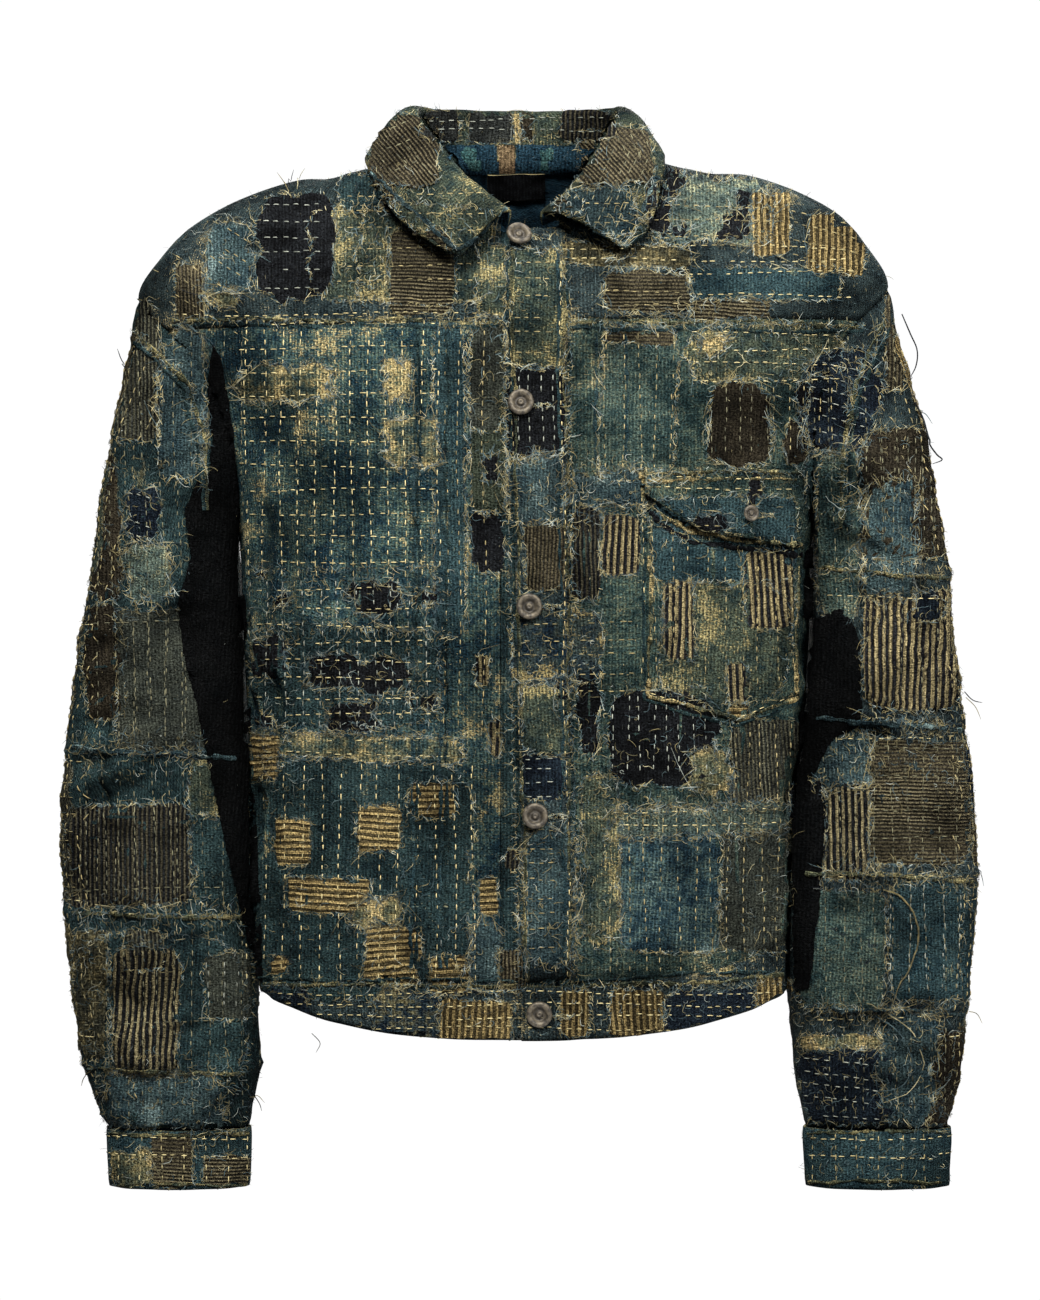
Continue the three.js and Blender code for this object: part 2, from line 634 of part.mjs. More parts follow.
function cuff(name, side, table) {
  const rows = 2;
  const outside = sleeveRingPoint(side, table, 0, SLEEVE_END);
  const inside = sleeveRingPoint(side, table, 180, SLEEVE_END);
  const middle = outside.add(inside).multiplyScalar(0.5);
  return clothWall(name, BROWN, SLEEVE_SIDES, rows, (i, j, face) => {
    const z = mixNumber(CUFF_BOTTOM, SLEEVE_END - SEAM_GAP, j / rows);
    const point = sleeveRingPoint(side, table, i * 360 / SLEEVE_SIDES, SLEEVE_END);
    const spoke = point.clone().sub(middle);
    const reach = spoke.length();
    spoke.multiplyScalar((reach - CUFF_TAPER * (1 - j / rows) - face * BAND_WALL) / reach);
    return new THREE.Vector3(middle.x + spoke.x, middle.y + spoke.y, z);
  }, true);
}

// ---- collar ----
function stationCurve(field) {
  const points = COLLAR_STATIONS.map((station) => new THREE.Vector3(...station[field]));
  return new THREE.CatmullRomCurve3(points, false, 'centripetal');
}

function neckPoint(share) {
  const at = share * (COLLAR_STATIONS.length - 1);
  const index = Math.min(Math.floor(at), COLLAR_STATIONS.length - 2);
  const turn = mixNumber(COLLAR_STATIONS[index].turn, COLLAR_STATIONS[index + 1].turn, at - index);
  return bodyCore(turn, NECK);
}

function collarNormal(pointAt, share, up) {
  const east = pointAt(Math.min(share + 0.01, 1), up).sub(pointAt(Math.max(share - 0.01, 0), up));
  const north = pointAt(share, Math.min(up + 0.03, 1)).sub(pointAt(share, Math.max(up - 0.03, 0)));
  return east.cross(north).normalize();
}

function collar() {
  const foldLine = stationCurve('fold');
  const outerEdge = stationCurve('edge');
  const inward = (point) => new THREE.Vector3(-point.x, -point.y, 0).normalize();
  const standPoint = (share, up) => {
    const bottom = neckPoint(share);
    bottom.addScaledVector(inward(bottom), 1.5);
    bottom.z += 1;
    const top = foldLine.getPoint(share);
    top.addScaledVector(inward(top), STAND_INSET);
    top.z -= STAND_DROP;
    return bottom.lerp(top, up);
  };
  const fallPoint = (share, down) => {
    const top = foldLine.getPoint(share);
    const edge = outerEdge.getPoint(share);
    const start = top.clone().addScaledVector(inward(top), STAND_INSET + 0.5);
    start.z -= 1;
    const shoulder = top.clone().lerp(edge, 0.22);
    shoulder.addScaledVector(inward(top), -7);
    shoulder.z += 9;
    return new THREE.Vector3()
      .addScaledVector(start, (1 - down) ** 2)
      .addScaledVector(shoulder, 2 * down * (1 - down))
      .addScaledVector(edge, down * down);
  };
  const stand = clothWall('collar_stand', TEAL, COLLAR_COLUMNS, 3, (i, j, face) => {
    const share = i / COLLAR_COLUMNS;
    const point = standPoint(share, j / 3);
    return point.addScaledVector(collarNormal(standPoint, share, j / 3), face * CLOTH_WALL);
  });
  const fall = clothWall('collar_fall', INDIGO, COLLAR_COLUMNS, 6, (i, j, face) => {
    const share = i / COLLAR_COLUMNS;
    const point = fallPoint(share, j / 6);
    return point.addScaledVector(collarNormal(fallPoint, share, j / 6), -face * CLOTH_WALL);
  });
  return [stand, fall];
}

// ---- neck label, inside the back yoke ----
function neckLabel() {
  return clothWall('neck_label', LABEL_CLOTH, 4, 2, (i, j, face) => {
    const level = mixNumber(LABEL.bottom, LABEL.top, j / 2);
    const x = mixNumber(LABEL.from, LABEL.to, i / 4);
    const angle = 180 - angleOfX(x, level);
    return bodyAt(angle, level, -CLOTH_WALL - 1.4 - face);
  });
}

// ---- buttons: a ring with a sunk middle on a short post ----
function button(name, radius, place, lift) {
  const profile = [
    [0, 0], [0.42, 0], [0.42, 0.14], [0.96, 0.16], [1, 0.28], [0.86, 0.44], [0.66, 0.42], [0.5, 0.26],
    [0.26, 0.26], [0.2, 0.34], [0, 0.36],
  ].map(([out, up]) => new THREE.Vector2(out * radius, up * radius));
  const mesh = new THREE.Mesh(new THREE.LatheGeometry(profile, 20), PEWTER);
  mesh.name = name;
  const level = levelOfZ(place.x, place.z);
  const angle = angleOfX(place.x, level);
  const base = bodyAt(angle, level, lift);
  const normal = bodyAt(angle, level, lift + 1).sub(base).normalize();
  const tilt = new THREE.Quaternion().setFromAxisAngle(new THREE.Vector3(0, 0, 1), place.tilt * DEGREE);
  const aim = new THREE.Quaternion().setFromUnitVectors(new THREE.Vector3(0, 1, 0), normal);
  mesh.quaternion.copy(tilt).multiply(aim);
  mesh.position.copy(base).addScaledVector(normal, radius * Math.abs(Math.sin(place.tilt * DEGREE)) * 0.45);
  return mesh;
}

function buttons() {
  const onPlacket = 2 * CLOTH_WALL - 0.4 + SEAM_GAP;
  const onBand = BAND_LIFT + BAND_WALL + 0.9;
  const onFlap = 11.6;
  const front = FRONT_BUTTONS.map((place, index) => {
    const lift = index === FRONT_BUTTONS.length - 1 ? onBand : onPlacket;
    return button(`button_${index + 1}`, BUTTON_RADIUS, place, lift);
  });
  return [...front, button('button_flap', FLAP_BUTTON_RADIUS, FLAP_BUTTON, onFlap)];
}

const group = new THREE.Group();
group.add(
  frontPiece('front_right', INDIGO, -1, -STAND_EDGE, FRONT_PANEL_LEVELS),
  frontPiece('front_left', TEAL, 1, LEFT_FRONT_EDGE, FRONT_PANEL_LEVELS),
  frontPiece('yoke_front_right', INDIGO_DARK, -1, -STAND_EDGE, FRONT_YOKE_LEVELS),
  frontPiece('yoke_front_left', INDIGO, 1, LEFT_FRONT_EDGE, FRONT_YOKE_LEVELS),
  backPiece('back_panel', INDIGO, BACK_PANEL_LEVELS),
  backPiece('yoke_back', INDIGO_DARK, BACK_YOKE_LEVELS),
  placket(),
  buttonStand(),
  ...waistband(),
  chestPocket(),
  pocketFlap(),
  ...sleeve('right', -1, RIGHT_SLEEVE),
  ...sleeve('left', 1, LEFT_SLEEVE),
  cuff('cuff_right', -1, RIGHT_SLEEVE),
  cuff('cuff_left', 1, LEFT_SLEEVE),
  ...collar(),
  neckLabel(),
  ...buttons(),
);
export default group;
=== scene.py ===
import math

import bmesh
import bpy
import numpy as np
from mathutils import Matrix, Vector
from mathutils.bvhtree import BVHTree
from mathutils.geometry import delaunay_2d_cdt


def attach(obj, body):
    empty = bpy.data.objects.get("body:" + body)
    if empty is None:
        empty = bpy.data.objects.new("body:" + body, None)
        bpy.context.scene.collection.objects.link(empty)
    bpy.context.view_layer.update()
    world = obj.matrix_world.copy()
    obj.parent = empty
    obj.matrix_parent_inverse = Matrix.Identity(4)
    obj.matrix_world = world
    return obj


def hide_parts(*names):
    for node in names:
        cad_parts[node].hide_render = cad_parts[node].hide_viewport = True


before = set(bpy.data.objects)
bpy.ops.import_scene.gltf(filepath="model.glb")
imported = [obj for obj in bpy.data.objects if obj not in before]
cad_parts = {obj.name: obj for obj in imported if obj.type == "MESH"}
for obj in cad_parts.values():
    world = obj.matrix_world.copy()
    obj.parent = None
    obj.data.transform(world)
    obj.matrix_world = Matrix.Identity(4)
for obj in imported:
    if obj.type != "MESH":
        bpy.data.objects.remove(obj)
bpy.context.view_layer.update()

# ---------------------------------------------------------------- driving dimensions
CLOTH = 2.2
BAND = 3.0
MESH_STEP = 3.8
HEM, BAND_TOP, NECK = -626.0, -588.0, 136.0
UNDERARM, SHOULDER_TIP = -270.0, -90.0
FRONT_YOKE_LEVEL = UNDERARM + (SHOULDER_TIP - UNDERARM) * (1 + math.cos(math.radians(45))) / 2
BACK_YOKE_LEVEL = UNDERARM + (SHOULDER_TIP - UNDERARM) * (1 + math.cos(math.radians(60))) / 2
SHOULDER_LEAN, SHOULDER_HALF = 4.5, 276.0
PLACKET_TOP = -45
PLEAT_TOP = -118
SLEEVE_TOP, SLEEVE_END, CUFF_BOTTOM = -300.0, -698.0, -741.0
SLEEVE_SQUARE = 2.2
SLEEVE_MIDDLE = 268
# the sleeve's back falls in behind the elbow: turn in degrees, spread, reach
TUCK_TURN, TUCK_SPREAD, TUCK_REACH = 225, 34, 20
SEED = 20

# Where the photo was taken from, and the upright plane through the chest that the charts are drawn on.
EYE = np.array([0.0, -2760.0, -350.0])
CHART_Y = -60.0
FIELD_WIDTH = 749.0

# level, front z, side z, back z, right half width, left half width, chest, spine, squareness
BODY_RINGS = np.array([
    [-626, -626, -597, -612, 190, 196, 109, 107, 2.70],
    [-588, -587, -560, -574, 193, 197, 111, 109, 2.70],
    [-577, -576, -550, -563, 196, 199, 117, 113, 2.70],
    [-540, -540, -534, -538, 196, 197, 119, 114, 2.70],
    [-500, -500, -500, -500, 197, 198, 117, 112, 2.65],
    [-430, -430, -430, -430, 199, 205, 115, 112, 2.60],
    [-350, -350, -350, -350, 203, 212, 116, 114, 2.60],
    [-270, -270, -270, -270, 206, 214, 119, 118, 2.55],
    [-230, -230, -230, -230, 211, 218, 119, 120, 2.50],
    [-180, -180, -180, -180, 232, 233, 116, 120, 2.40],
    [-135, -135, -135, -135, 262, 254, 109, 115, 2.25],
    [-90, -91, -88, -88, 281, 271, 99, 105, 2.15],
    [-56, -80, -57, -60, 264, 255, 94, 97, 2.10],
    [-18, -71, -31, -34, 236, 231, 90, 88, 2.10],
    [33, -62, -9, -10, 190, 187, 85, 77, 2.10],
    [85, -54, 3, 6, 138, 136, 80, 68, 2.10],
    [136, -46, 9, 16, 88, 85, 75, 60, 2.10],
], float)
ARMHOLE_SEAM = np.array([
    [0, 0], [0.06, 7.5], [0.17, 12.5], [0.4, 22], [0.65, 27], [0.8, 24.5], [0.93, 14], [1, 0],
], float)
# z, outer reach, inner reach, half depth, middle y
SLEEVES = {
    "right": np.array([
        [-300, 318, 207.6, 66, -3], [-345, 325, 205.4, 64, -5], [-402, 331, 202.8, 62, -8],
        [-460, 336, 200.4, 60, -12], [-512, 336, 199.4, 58, -15], [-549, 334, 198.6, 55, -16],
        [-608, 327, 194.2, 50, -16], [-652, 320, 190.5, 45, -16], [-685, 309, 194, 38, -15],
        [-698, 302, 196.5, 33, -14],
    ], float),
    "left": np.array([
        [-300, 317, 215.6, 66, -3], [-345, 321, 214.6, 64, -5], [-402, 327, 210.4, 62, -8],
        [-460, 333, 204.8, 60, -12], [-512, 335, 200.4, 58, -15], [-549, 333, 199.8, 55, -16],
        [-608, 328, 199.2, 50, -16], [-652, 324, 200.5, 45, -16], [-685, 318, 205, 38, -15],
        [-698, 315, 207.5, 33, -14],
    ], float),
}
SIDE_SIGN = {"right": -1.0, "left": 1.0}
COLLAR_TURNS = [-5, -32, -62, -92, -136, -180, -224, -268, -298, -326, -350]
COLLAR_FOLD = np.array([
    [-6, -85, -34], [-36, -70, -12], [-61, -43, 17], [-80, -4, 49], [-62, 39, 54], [0, 54, 55],
    [61, 39, 54], [77, -4, 49], [61, -43, 18], [42, -69, -12], [15, -88, -36],
], float)
COLLAR_EDGE = np.array([
    [-42, -104, -70], [-66, -97, -58], [-93, -78, -34], [-114, -14, 12], [-85, 57, 14], [0, 83, 3],
    [82, 57, 15], [106, -14, 15], [99, -76, -27], [90, -88, -52], [75, -97, -65],
], float)

# ---------------------------------------------------------------- patches, placed one by one
# fabric, x from, x to, z from, z to, and how ragged its edge is, on the front chart
# hole rows are near-black cloth for torn holes, painted shade of the inside seen through the tear
FRONT_PATCHES = {
    "yoke_right": [
        ("mottle_tan", -150, -20, -100, -30, 2), ("black", -189, -133, -98, -22, 2.2),
        ("rib_brown_h", -94, -47, -109, -48, 2.2), ("rib_brown_v", -248, -227, -112, -73, 2),
        ("rib_brown_h", -104, -90, -37, -15, 1.5), ("mottle_tan", -115, -96, -98, -33, 2),
        ("mottle_tan", -30, -10, -110, -58, 1.5), ("tan_worn", -227, -202, -102, -91, 3),
        ("indigo_deep", -130, -98, -34, -8, 2), ("fray_blue", -226, -194, -92, -44, 2.5),
    ],
    "yoke_left": [
        ("rib_brown_h", 61, 122, -107, -78, 2.6), ("rib_brown_h", 122, 180, -112, -97, 2),
        ("teal_plain", 122, 230, -98, -75, 1), ("check_tan", 29, 122, -74, -58, 1.5),
        ("fray_pale", 96, 180, -58, -10, 3), ("black", 103, 117, -26, -1, 1.5),
        ("black", 92, 107, -53, -13, 2), ("black", 142, 167, -55, -35, 2.2),
        ("black", 155, 166, -37, -20, 2), ("black", 109, 122, -55, -44, 2),
        ("cream", 65, 79, -68, -57, 2.5), ("rib_tan_v", 166, 194, -66, -21, 1.5),
        ("rib_tan_v", 207, 248, -80, -37, 1.5),
    ],
    "front_left": [
        ("check_fine", 58, 112, -228, -118, 1), ("rib_brown_h", 61, 112, -130, -118, 2),
        ("mottle_tan", 122, 230, -156, -116, 2), ("tan_worn", 130, 148, -138, -123, 3),
        ("brown_dark", 135, 180, -217, -159, 2.4), ("brown_dark", 191, 207, -217, -184, 2),
        ("indigo_deep", 206, 236, -250, -150, 2), ("black", 200, 236, -206, -152, 2.6),
        ("rib_dark_v", 37, 58, -314, -246, 2), ("stripe_tan_v", 59, 86, -296, -253, 1.8),
        ("fray_blue", 40, 92, -246, -222, 3), ("black", 42, 56, -426, -361, 1.8),
        ("black", 65, 140, -447, -379, 2.2), ("rib_grey_v", 151, 202, -462, -400, 1.6),
        ("tan_worn", 122, 151, -452, -423, 3), ("check_blue", 72, 144, -567, -483, 1.4),
        ("grey_plain", 144, 196, -567, -476, 1.6), ("tan_worn", 144, 153, -586, -577, 2),
        ("fray_pale", 64, 196, -483, -462, 2.5), ("mottle_tan", 44, 72, -560, -440, 2),
    ],
    "placket": [
        ("mottle_tan", -9, 33, -147, -62, 1), ("black", -11, 33, -210, -148, 2),
        ("fray_blue", -7, 30, -258, -210, 2), ("rib_brown_v", 4, 36, -307, -260, 1.6),
        ("floral", -5, 58, -372, -321, 2), ("black", 25, 37, -398, -370, 1.6),
        ("navy", 2, 31, -458, -426, 1.6), ("mottle_tan", 2, 36, -424, -376, 2),
        ("fray_blue", 3, 40, -575, -478, 2),
    ],
    "pocket": [
        ("mottle_tan", 100, 194, -386, -304, 1.2), ("teal_plain", 94, 199, -300, -240, 1),
        ("hole", 122, 151, -264, -253, 1.6),
        ("black", 164, 173, -246, -224, 1.6), ("stripe_tan_v", 103, 125, -357, -300, 2),
        ("stripe_tan_v", 162, 196, -335, -279, 1.8), ("stripe_tan_v", 149, 163, -389, -359, 1.6),
        ("rib_tan_h", 150, 164, -399, -389, 1.4),
    ],
    "front_right": [
        ("teal_plain", -62, -40, -340, -118, 1), ("tan_check", -202, -137, -171, -145, 3),
        ("tan_check", -97, -79, -171, -140, 3), ("tan_check", -97, -58, -215, -184, 3),
        ("green_plain", -36, -10, -250, -111, 1), ("grey_plain", -36, -11, -192, -111, 1.2),
        ("hole", -26, -14, -228, -210, 1.4), ("black", -36, -11, -292, -253, 1.6),
        ("stripe_tan_v", -32, -22, -375, -354, 1.4), ("stripe_tan_v", -22, -14, -426, -400, 1.4),
        ("indigo_deep", -198, -60, -405, -332, 1.5), ("hole", -189, -183, -298, -291, 1.2),
        ("hole", -176, -166, -318, -310, 1.4), ("hole", -122, -86, -323, -301, 2.6),
        ("hole", -76, -58, -317, -308, 1.8), ("hole", -193, -168, -369, -341, 2.6),
        ("hole", -151, -79, -379, -354, 3.2), ("hole", -79, -61, -393, -381, 2),
        ("hole", -138, -102, -408, -389, 2.4), ("hole", -194, -176, -405, -397, 1.6),
        ("cream_check", -194, -40, -429, -411, 1.6), ("indigo_deep", -198, -34, -600, -430, 1),
        ("rib_tan_h", -176, -150, -505, -471, 2), ("rib_tan_h", -117, -85, -495, -462, 2),
        ("rib_tan_h", -79, -47, -471, -445, 2), ("rib_tan_h", -167, -108, -539, -514, 2),
        ("tan_worn", -120, -84, -548, -530, 3), ("rib_tan_h", -112, -72, -591, -548, 2),
        ("rib_tan_h", -194, -173, -444, -411, 1.8), ("rib_tan_h", -179, -166, -584, -570, 1.6),
        ("rib_tan_h", -65, -37, -598, -570, 1.8), ("rib_tan_h", -29, -16, -541, -514, 1.6),
        ("fray_blue", -36, -14, -595, -548, 2), ("rib_dark_v", -11, 0, -508, -494, 1.4),
        ("rib_brown_v", -14, 4, -595, -566, 1.4),
    ],
    "band": [
        ("navy", -186, -151, -624, -593, 1.4), ("plaid", -104, -58, -632, -595, 1.4),
        ("rib_tan_v", -58, -6, -632, -602, 1.4), ("rib_tan_v", 29, 50, -628, -595, 1.4),
        ("rib_tan_v", 65, 104, -631, -595, 1.4), ("navy", 104, 169, -628, -595, 1.4),
        ("rib_tan_v", 169, 196, -624, -584, 1.4),
    ],
    "sleeve_right": [
        ("rib_grey_v", -295, -259, -199, -98, 1.8),
        ("fray_blue", -259, -227, -228, -120, 2.4), ("brown_dark", -313, -288, -314, -206, 2),
        ("navy", -282, -261, -271, -233, 1.8), ("fray_pale", -284, -252, -314, -274, 2.6),
        ("brown_dark", -312, -286, -400, -318, 1.6),
        ("grey_plain", -290, -226, -424, -321, 1.4), ("rib_dark_v", -327, -238, -534, -462, 1.4),
        ("mottle_tan", -238, -216, -470, -428, 2), ("indigo_deep", -236, -203, -534, -470, 1.6),
        ("indigo_deep", -322, -200, -690, -556, 1),
        ("check_tan", -320, -296, -645, -552, 1.4), ("fray_blue", -300, -215, -694, -656, 2.4),
        ("rib_grey_v", -284, -258, -580, -552, 1.4),
        ("stripe_dark_v", -293, -245, -655, -564, 2), ("grey_plain", -227, -194, -616, -568, 1.8),
    ],
    "cuff_right": [
        ("tan_worn", -293, -266, -737, -710, 2), ("rib_brown_h", -265, -236, -737, -696, 1.6),
        ("rib_brown_h", -228, -194, -737, -714, 1.4),
    ],
    "sleeve_left": [
        ("navy", 207, 256, -206, -134, 2.4), ("check_pale", 216, 245, -328, -206, 1.6),
        ("brown_dark", 245, 306, -285, -192, 2), ("rib_brown_v", 263, 276, -163, -91, 1.6),
        ("fray_blue", 248, 284, -313, -228, 3), ("stripe_tan_v", 248, 313, -393, -308, 1.2),
        ("navy", 281, 302, -330, -307, 1.6), ("rib_brown_h", 252, 324, -505, -415, 1.4),
        ("fray_blue", 209, 252, -449, -408, 2.4), ("stripe_dark_v", 220, 252, -516, -447, 1.6),
        ("black", 194, 220, -516, -444, 1.6), ("check_fine", 202, 263, -609, -523, 1),
        ("teal_plain", 266, 324, -602, -516, 1), ("tan_worn", 202, 266, -638, -627, 2),
        ("navy", 202, 270, -690, -638, 2), ("brown_dark", 281, 320, -690, -624, 1.8),
        ("fray_blue", 259, 299, -690, -609, 2.8),
    ],
    "collar": [
        ("rib_brown_d", -107, -58, -17, 34, 2), ("rib_brown_d", 43, 94, -16, 24, 2),
        ("rib_brown_h", 25, 45, -35, -25, 1.6), ("fray_blue", 30, 84, -52, -18, 2.4),
        ("tan_worn", -5, 1, 16, 38, 1.4), ("brown_dark", 1, 9, 16, 38, 1.4),
        ("grey_dark", -71, -45, 16, 38, 1.2), ("grey_dark", -37, -5, 15, 38, 1.2),
        ("rib_dark_v", 29, 70, 16, 38, 1.4),
    ],
}
# the side that the photograph doesn't show carries the same kinds of patch
BACK_PATCHES = [
    ("mottle_tan", -190, -60, -90, -8, 2), ("rib_brown_h", -52, 6, -74, -18, 2),
    ("black", 20, 84, -92, -30, 2.2),
    ("fray_pale", 92, 176, -84, -24, 3), ("rib_grey_v", -236, -196, -120, -74, 1.8),
    ("teal_plain", 186, 236, -118, -68, 1.4), ("tan_worn", 100, 128, -106, -92, 3),
    ("check_blue", -196, -108, -238, -136, 1.2), ("brown_dark", -92, -30, -214, -150, 2.2),
    ("mottle_tan", -22, 60, -230, -140, 2), ("stripe_tan_v", 72, 116, -206, -142, 1.8),
    ("navy", 126, 200, -244, -150, 2), ("tan_check", -104, -30, -258, -228, 2.6),
    ("rib_grey_v", -190, -118, -342, -262, 1.4), ("hole", -98, -52, -300, -276, 2.8),
    ("fray_blue", -40, 50, -336, -248, 2.6), ("rib_brown_v", 62, 122, -318, -232, 1.6),
    ("check_fine", 130, 198, -356, -262, 1.2), ("black", -184, -128, -436, -362, 2.2),
    ("teal_plain", -118, -30, -430, -330, 1), ("rib_tan_h", -84, -52, -392, -360, 2),
    ("green_plain", -20, 44, -430, -352, 1.6), ("floral", 54, 128, -430, -334, 2),
    ("brown_dark", 138, 196, -446, -372, 2), ("tan_worn", 20, 60, -352, -336, 3),
    ("check_tan", -192, -128, -560, -454, 1.4), ("stripe_dark_v", -116, -62, -540, -446, 1.6),
    ("indigo_deep", -54, 60, -580, -446, 1), ("rib_tan_h", -34, 0, -500, -466, 2),
    ("rib_tan_h", 12, 46, -548, -520, 2), ("rib_grey_v", 70, 132, -560, -448, 1.6),
    ("fray_pale", 140, 194, -570, -460, 2.6), ("navy", -176, -118, -602, -572, 1.4),
    ("rib_tan_v", -96, -40, -606, -576, 1.4), ("plaid", 20, 74, -606, -576, 1.4),
    ("rib_brown_h", 96, 160, -602, -572, 1.4),
    ("rib_grey_v", -316, -252, -300, -190, 1.6), ("mottle_tan", -300, -222, -402, -314, 2),
    ("brown_dark", -326, -258, -516, -416, 1.8), ("check_fine", -250, -208, -530, -430, 1.4),
    ("stripe_tan_v", -322, -262, -632, -536, 1.6), ("navy", -256, -204, -650, -548, 2),
    ("fray_blue", -310, -214, -690, -646, 2.4), ("fray_pale", -290, -230, -180, -120, 2.6),
    ("check_pale", 236, 306, -290, -190, 1.4), ("rib_brown_v", 252, 320, -396, -304, 1.6),
    ("grey_plain", 216, 250, -420, -320, 1.6), ("rib_grey_v", 248, 326, -512, -414, 1.4),
    ("black", 212, 250, -530, -436, 2), ("mottle_tan", 262, 322, -610, -528, 2),
    ("stripe_dark_v", 208, 256, -640, -546, 1.6), ("fray_blue", 214, 312, -692, -640, 2.4),
    ("fray_blue", 230, 286, -180, -118, 2.6), ("rib_brown_h", -282, -236, -736, -700, 1.4),
    ("rib_brown_h", 240, 290, -736, -700, 1.4), ("rib_brown_h", -90, -34, 12, 36, 1.4),
    ("rib_brown_h", 26, 84, 10, 34, 1.4), ("tan_worn", -20, 10, 14, 36, 1.4),
]
# y from, y to, z from, z to, on the wearer's right side and left side
SIDE_PATCHES = {
    "side_right": [
        ("rib_brown_v", -26, 40, -196, -118, 2), ("mottle_tan", -34, 30, -300, -214, 2),
        ("grey_plain", -30, 36, -410, -318, 1.6), ("rib_grey_v", -44, 24, -532, -432, 1.2),
        ("check_tan", -44, 26, -640, -548, 1.6), ("fray_blue", -40, 14, -692, -650, 2.4),
        ("black", -16, 22, -276, -236, 2), ("tan_worn", 4, 34, -448, -424, 3),
    ],
    "side_left": [
        ("rib_tan_v", -26, 36, -190, -120, 1.8), ("brown_dark", -34, 28, -292, -206, 2),
        ("stripe_tan_v", -36, 30, -396, -306, 1.4), ("rib_brown_h", -42, 26, -506, -414, 1.6),
        ("teal_plain", -46, 24, -604, -518, 1.2), ("brown_dark", -42, 12, -690, -622, 2),
        ("fray_blue", -6, 34, -330, -300, 2.8), ("navy", -40, -8, -470, -420, 2),
    ],
}

# running stitches: x, z to x, z of the first line, step to the next, how many, thread
FRONT_STITCHES = [
    (-197, -112, -197, -300, 12.6, 0, 12, "cream"), (-202, -115, -58, -115, 0, -17.1, 11, "cream"),
    (-198, -306, -60, -306, 0, -13, 8, "cream"), (-196, -300, -196, -410, 13, 0, 11, "white"),
    (-53, -112, -53, -410, 9, 0, 2, "tan"), (-26, -112, -26, -410, 9, 0, 1, "tan"),
    (-198, -414, -40, -414, 0, -11, 2, "cream"), (-198, -432, -198, -594, 13.7, 0, 13, "cream"),
    (-185, -28, -137, -28, 0, -12, 6, "white"), (-248, -22, -192, -60, 0, -14, 6, "tan"),
    (-132, -22, -20, -22, 0, -12.5, 8, "tan"), (-250, -108, -10, -108, 0, -6, 1, "cream"),
    (46, -30, 190, -30, 0, -11.5, 3, "tan"), (29, -60, 240, -60, 0, -9, 2, "cream"),
    (120, -78, 246, -78, 0, -17, 2, "cream"), (60, -91, 120, -91, 0, -11, 2, "tan"),
    (196, -32, 250, -46, 0, -11, 4, "tan"), (62, -122, 62, -228, 12, 0, 5, "tan"),
    (124, -122, 232, -122, 0, -11, 4, "cream"), (138, -160, 138, -216, 10, 0, 5, "dim"),
    (182, -160, 182, -216, 11, 0, 5, "tan"), (68, -382, 68, -446, 9.5, 0, 8, "white"),
    (154, -402, 154, -462, 10, 0, 5, "tan"), (66, -470, 66, -586, 12, 0, 11, "tan"),
    (66, -466, 196, -466, 0, -9, 2, "cream"), (42, -330, 90, -330, 0, -12, 5, "tan"),
    (88, -240, 88, -370, 0, 0, 1, "cream"), (97, -268, 97, -380, 12.5, 0, 9, "tan"),
    (90, -225, 202, -225, 0, -8, 2, "cream"), (90, -262, 150, -262, 0, -7, 1, "tan"),
    (94, -382, 156, -399, 0, 5, 1, "cream"), (160, -399, 200, -383, 0, 5, 1, "cream"),
    (-7, -62, 5, -588, 0, 0, 1, "tan"), (29, -62, 35, -588, 0, 0, 1, "cream"),
    (-4, -70, 30, -70, 0, -13, 6, "tan"), (-2, -152, -2, -208, 9, 0, 4, "white"),
    (2, -330, 34, -330, 0, -12, 4, "tan"), (4, -428, 32, -428, 0, -9, 4, "white"),
    (6, -480, 34, -480, 0, -12, 8, "tan"),
    (-190, -597, 194, -597, 0, -8.5, 4, "cream"),
    (-322, -120, -306, -690, 12, 0, 11, "dim"), (-322, -330, -210, -330, 0, -96, 4, "dim"),
    (-284, -236, -262, -244, 0, -10, 4, "white"), (-278, -326, -278, -416, 12, 0, 5, "dim"),
    (-318, -456, -318, -538, 14, 0, 6, "dim"), (-224, -574, -224, -612, 10, 0, 3, "white"),
    (-295, -701, -192, -701, 0, -14, 2, "cream"), (-290, -699, -290, -738, 15.8, 0, 7, "cream"),
    (210, -110, 224, -690, 12, 0, 11, "dim"), (214, -312, 330, -312, 0, -101, 4, "cream"),
    (210, -140, 252, -152, 0, -10, 6, "white"), (250, -196, 250, -284, 10, 0, 6, "dim"),
    (254, -420, 322, -420, 0, -22, 4, "dim"), (268, -518, 268, -600, 12, 0, 5, "white"),
    (204, -642, 268, -650, 0, -10, 5, "white"), (208, -701, 304, -701, 0, -14, 2, "cream"),
    (212, -699, 212, -738, 15.8, 0, 6, "tan"),
    (-108, 0, -44, -66, 9, 4, 4, "dim"), (96, 10, 66, -56, -9, 0, 4, "dim"),
    (-66, 32, 66, 32, 0, -8, 2, "white"), (-100, 24, -76, 34, 4, -14, 3, "dim"),
    (88, 24, 98, 2, -9, -2, 3, "dim"),
]
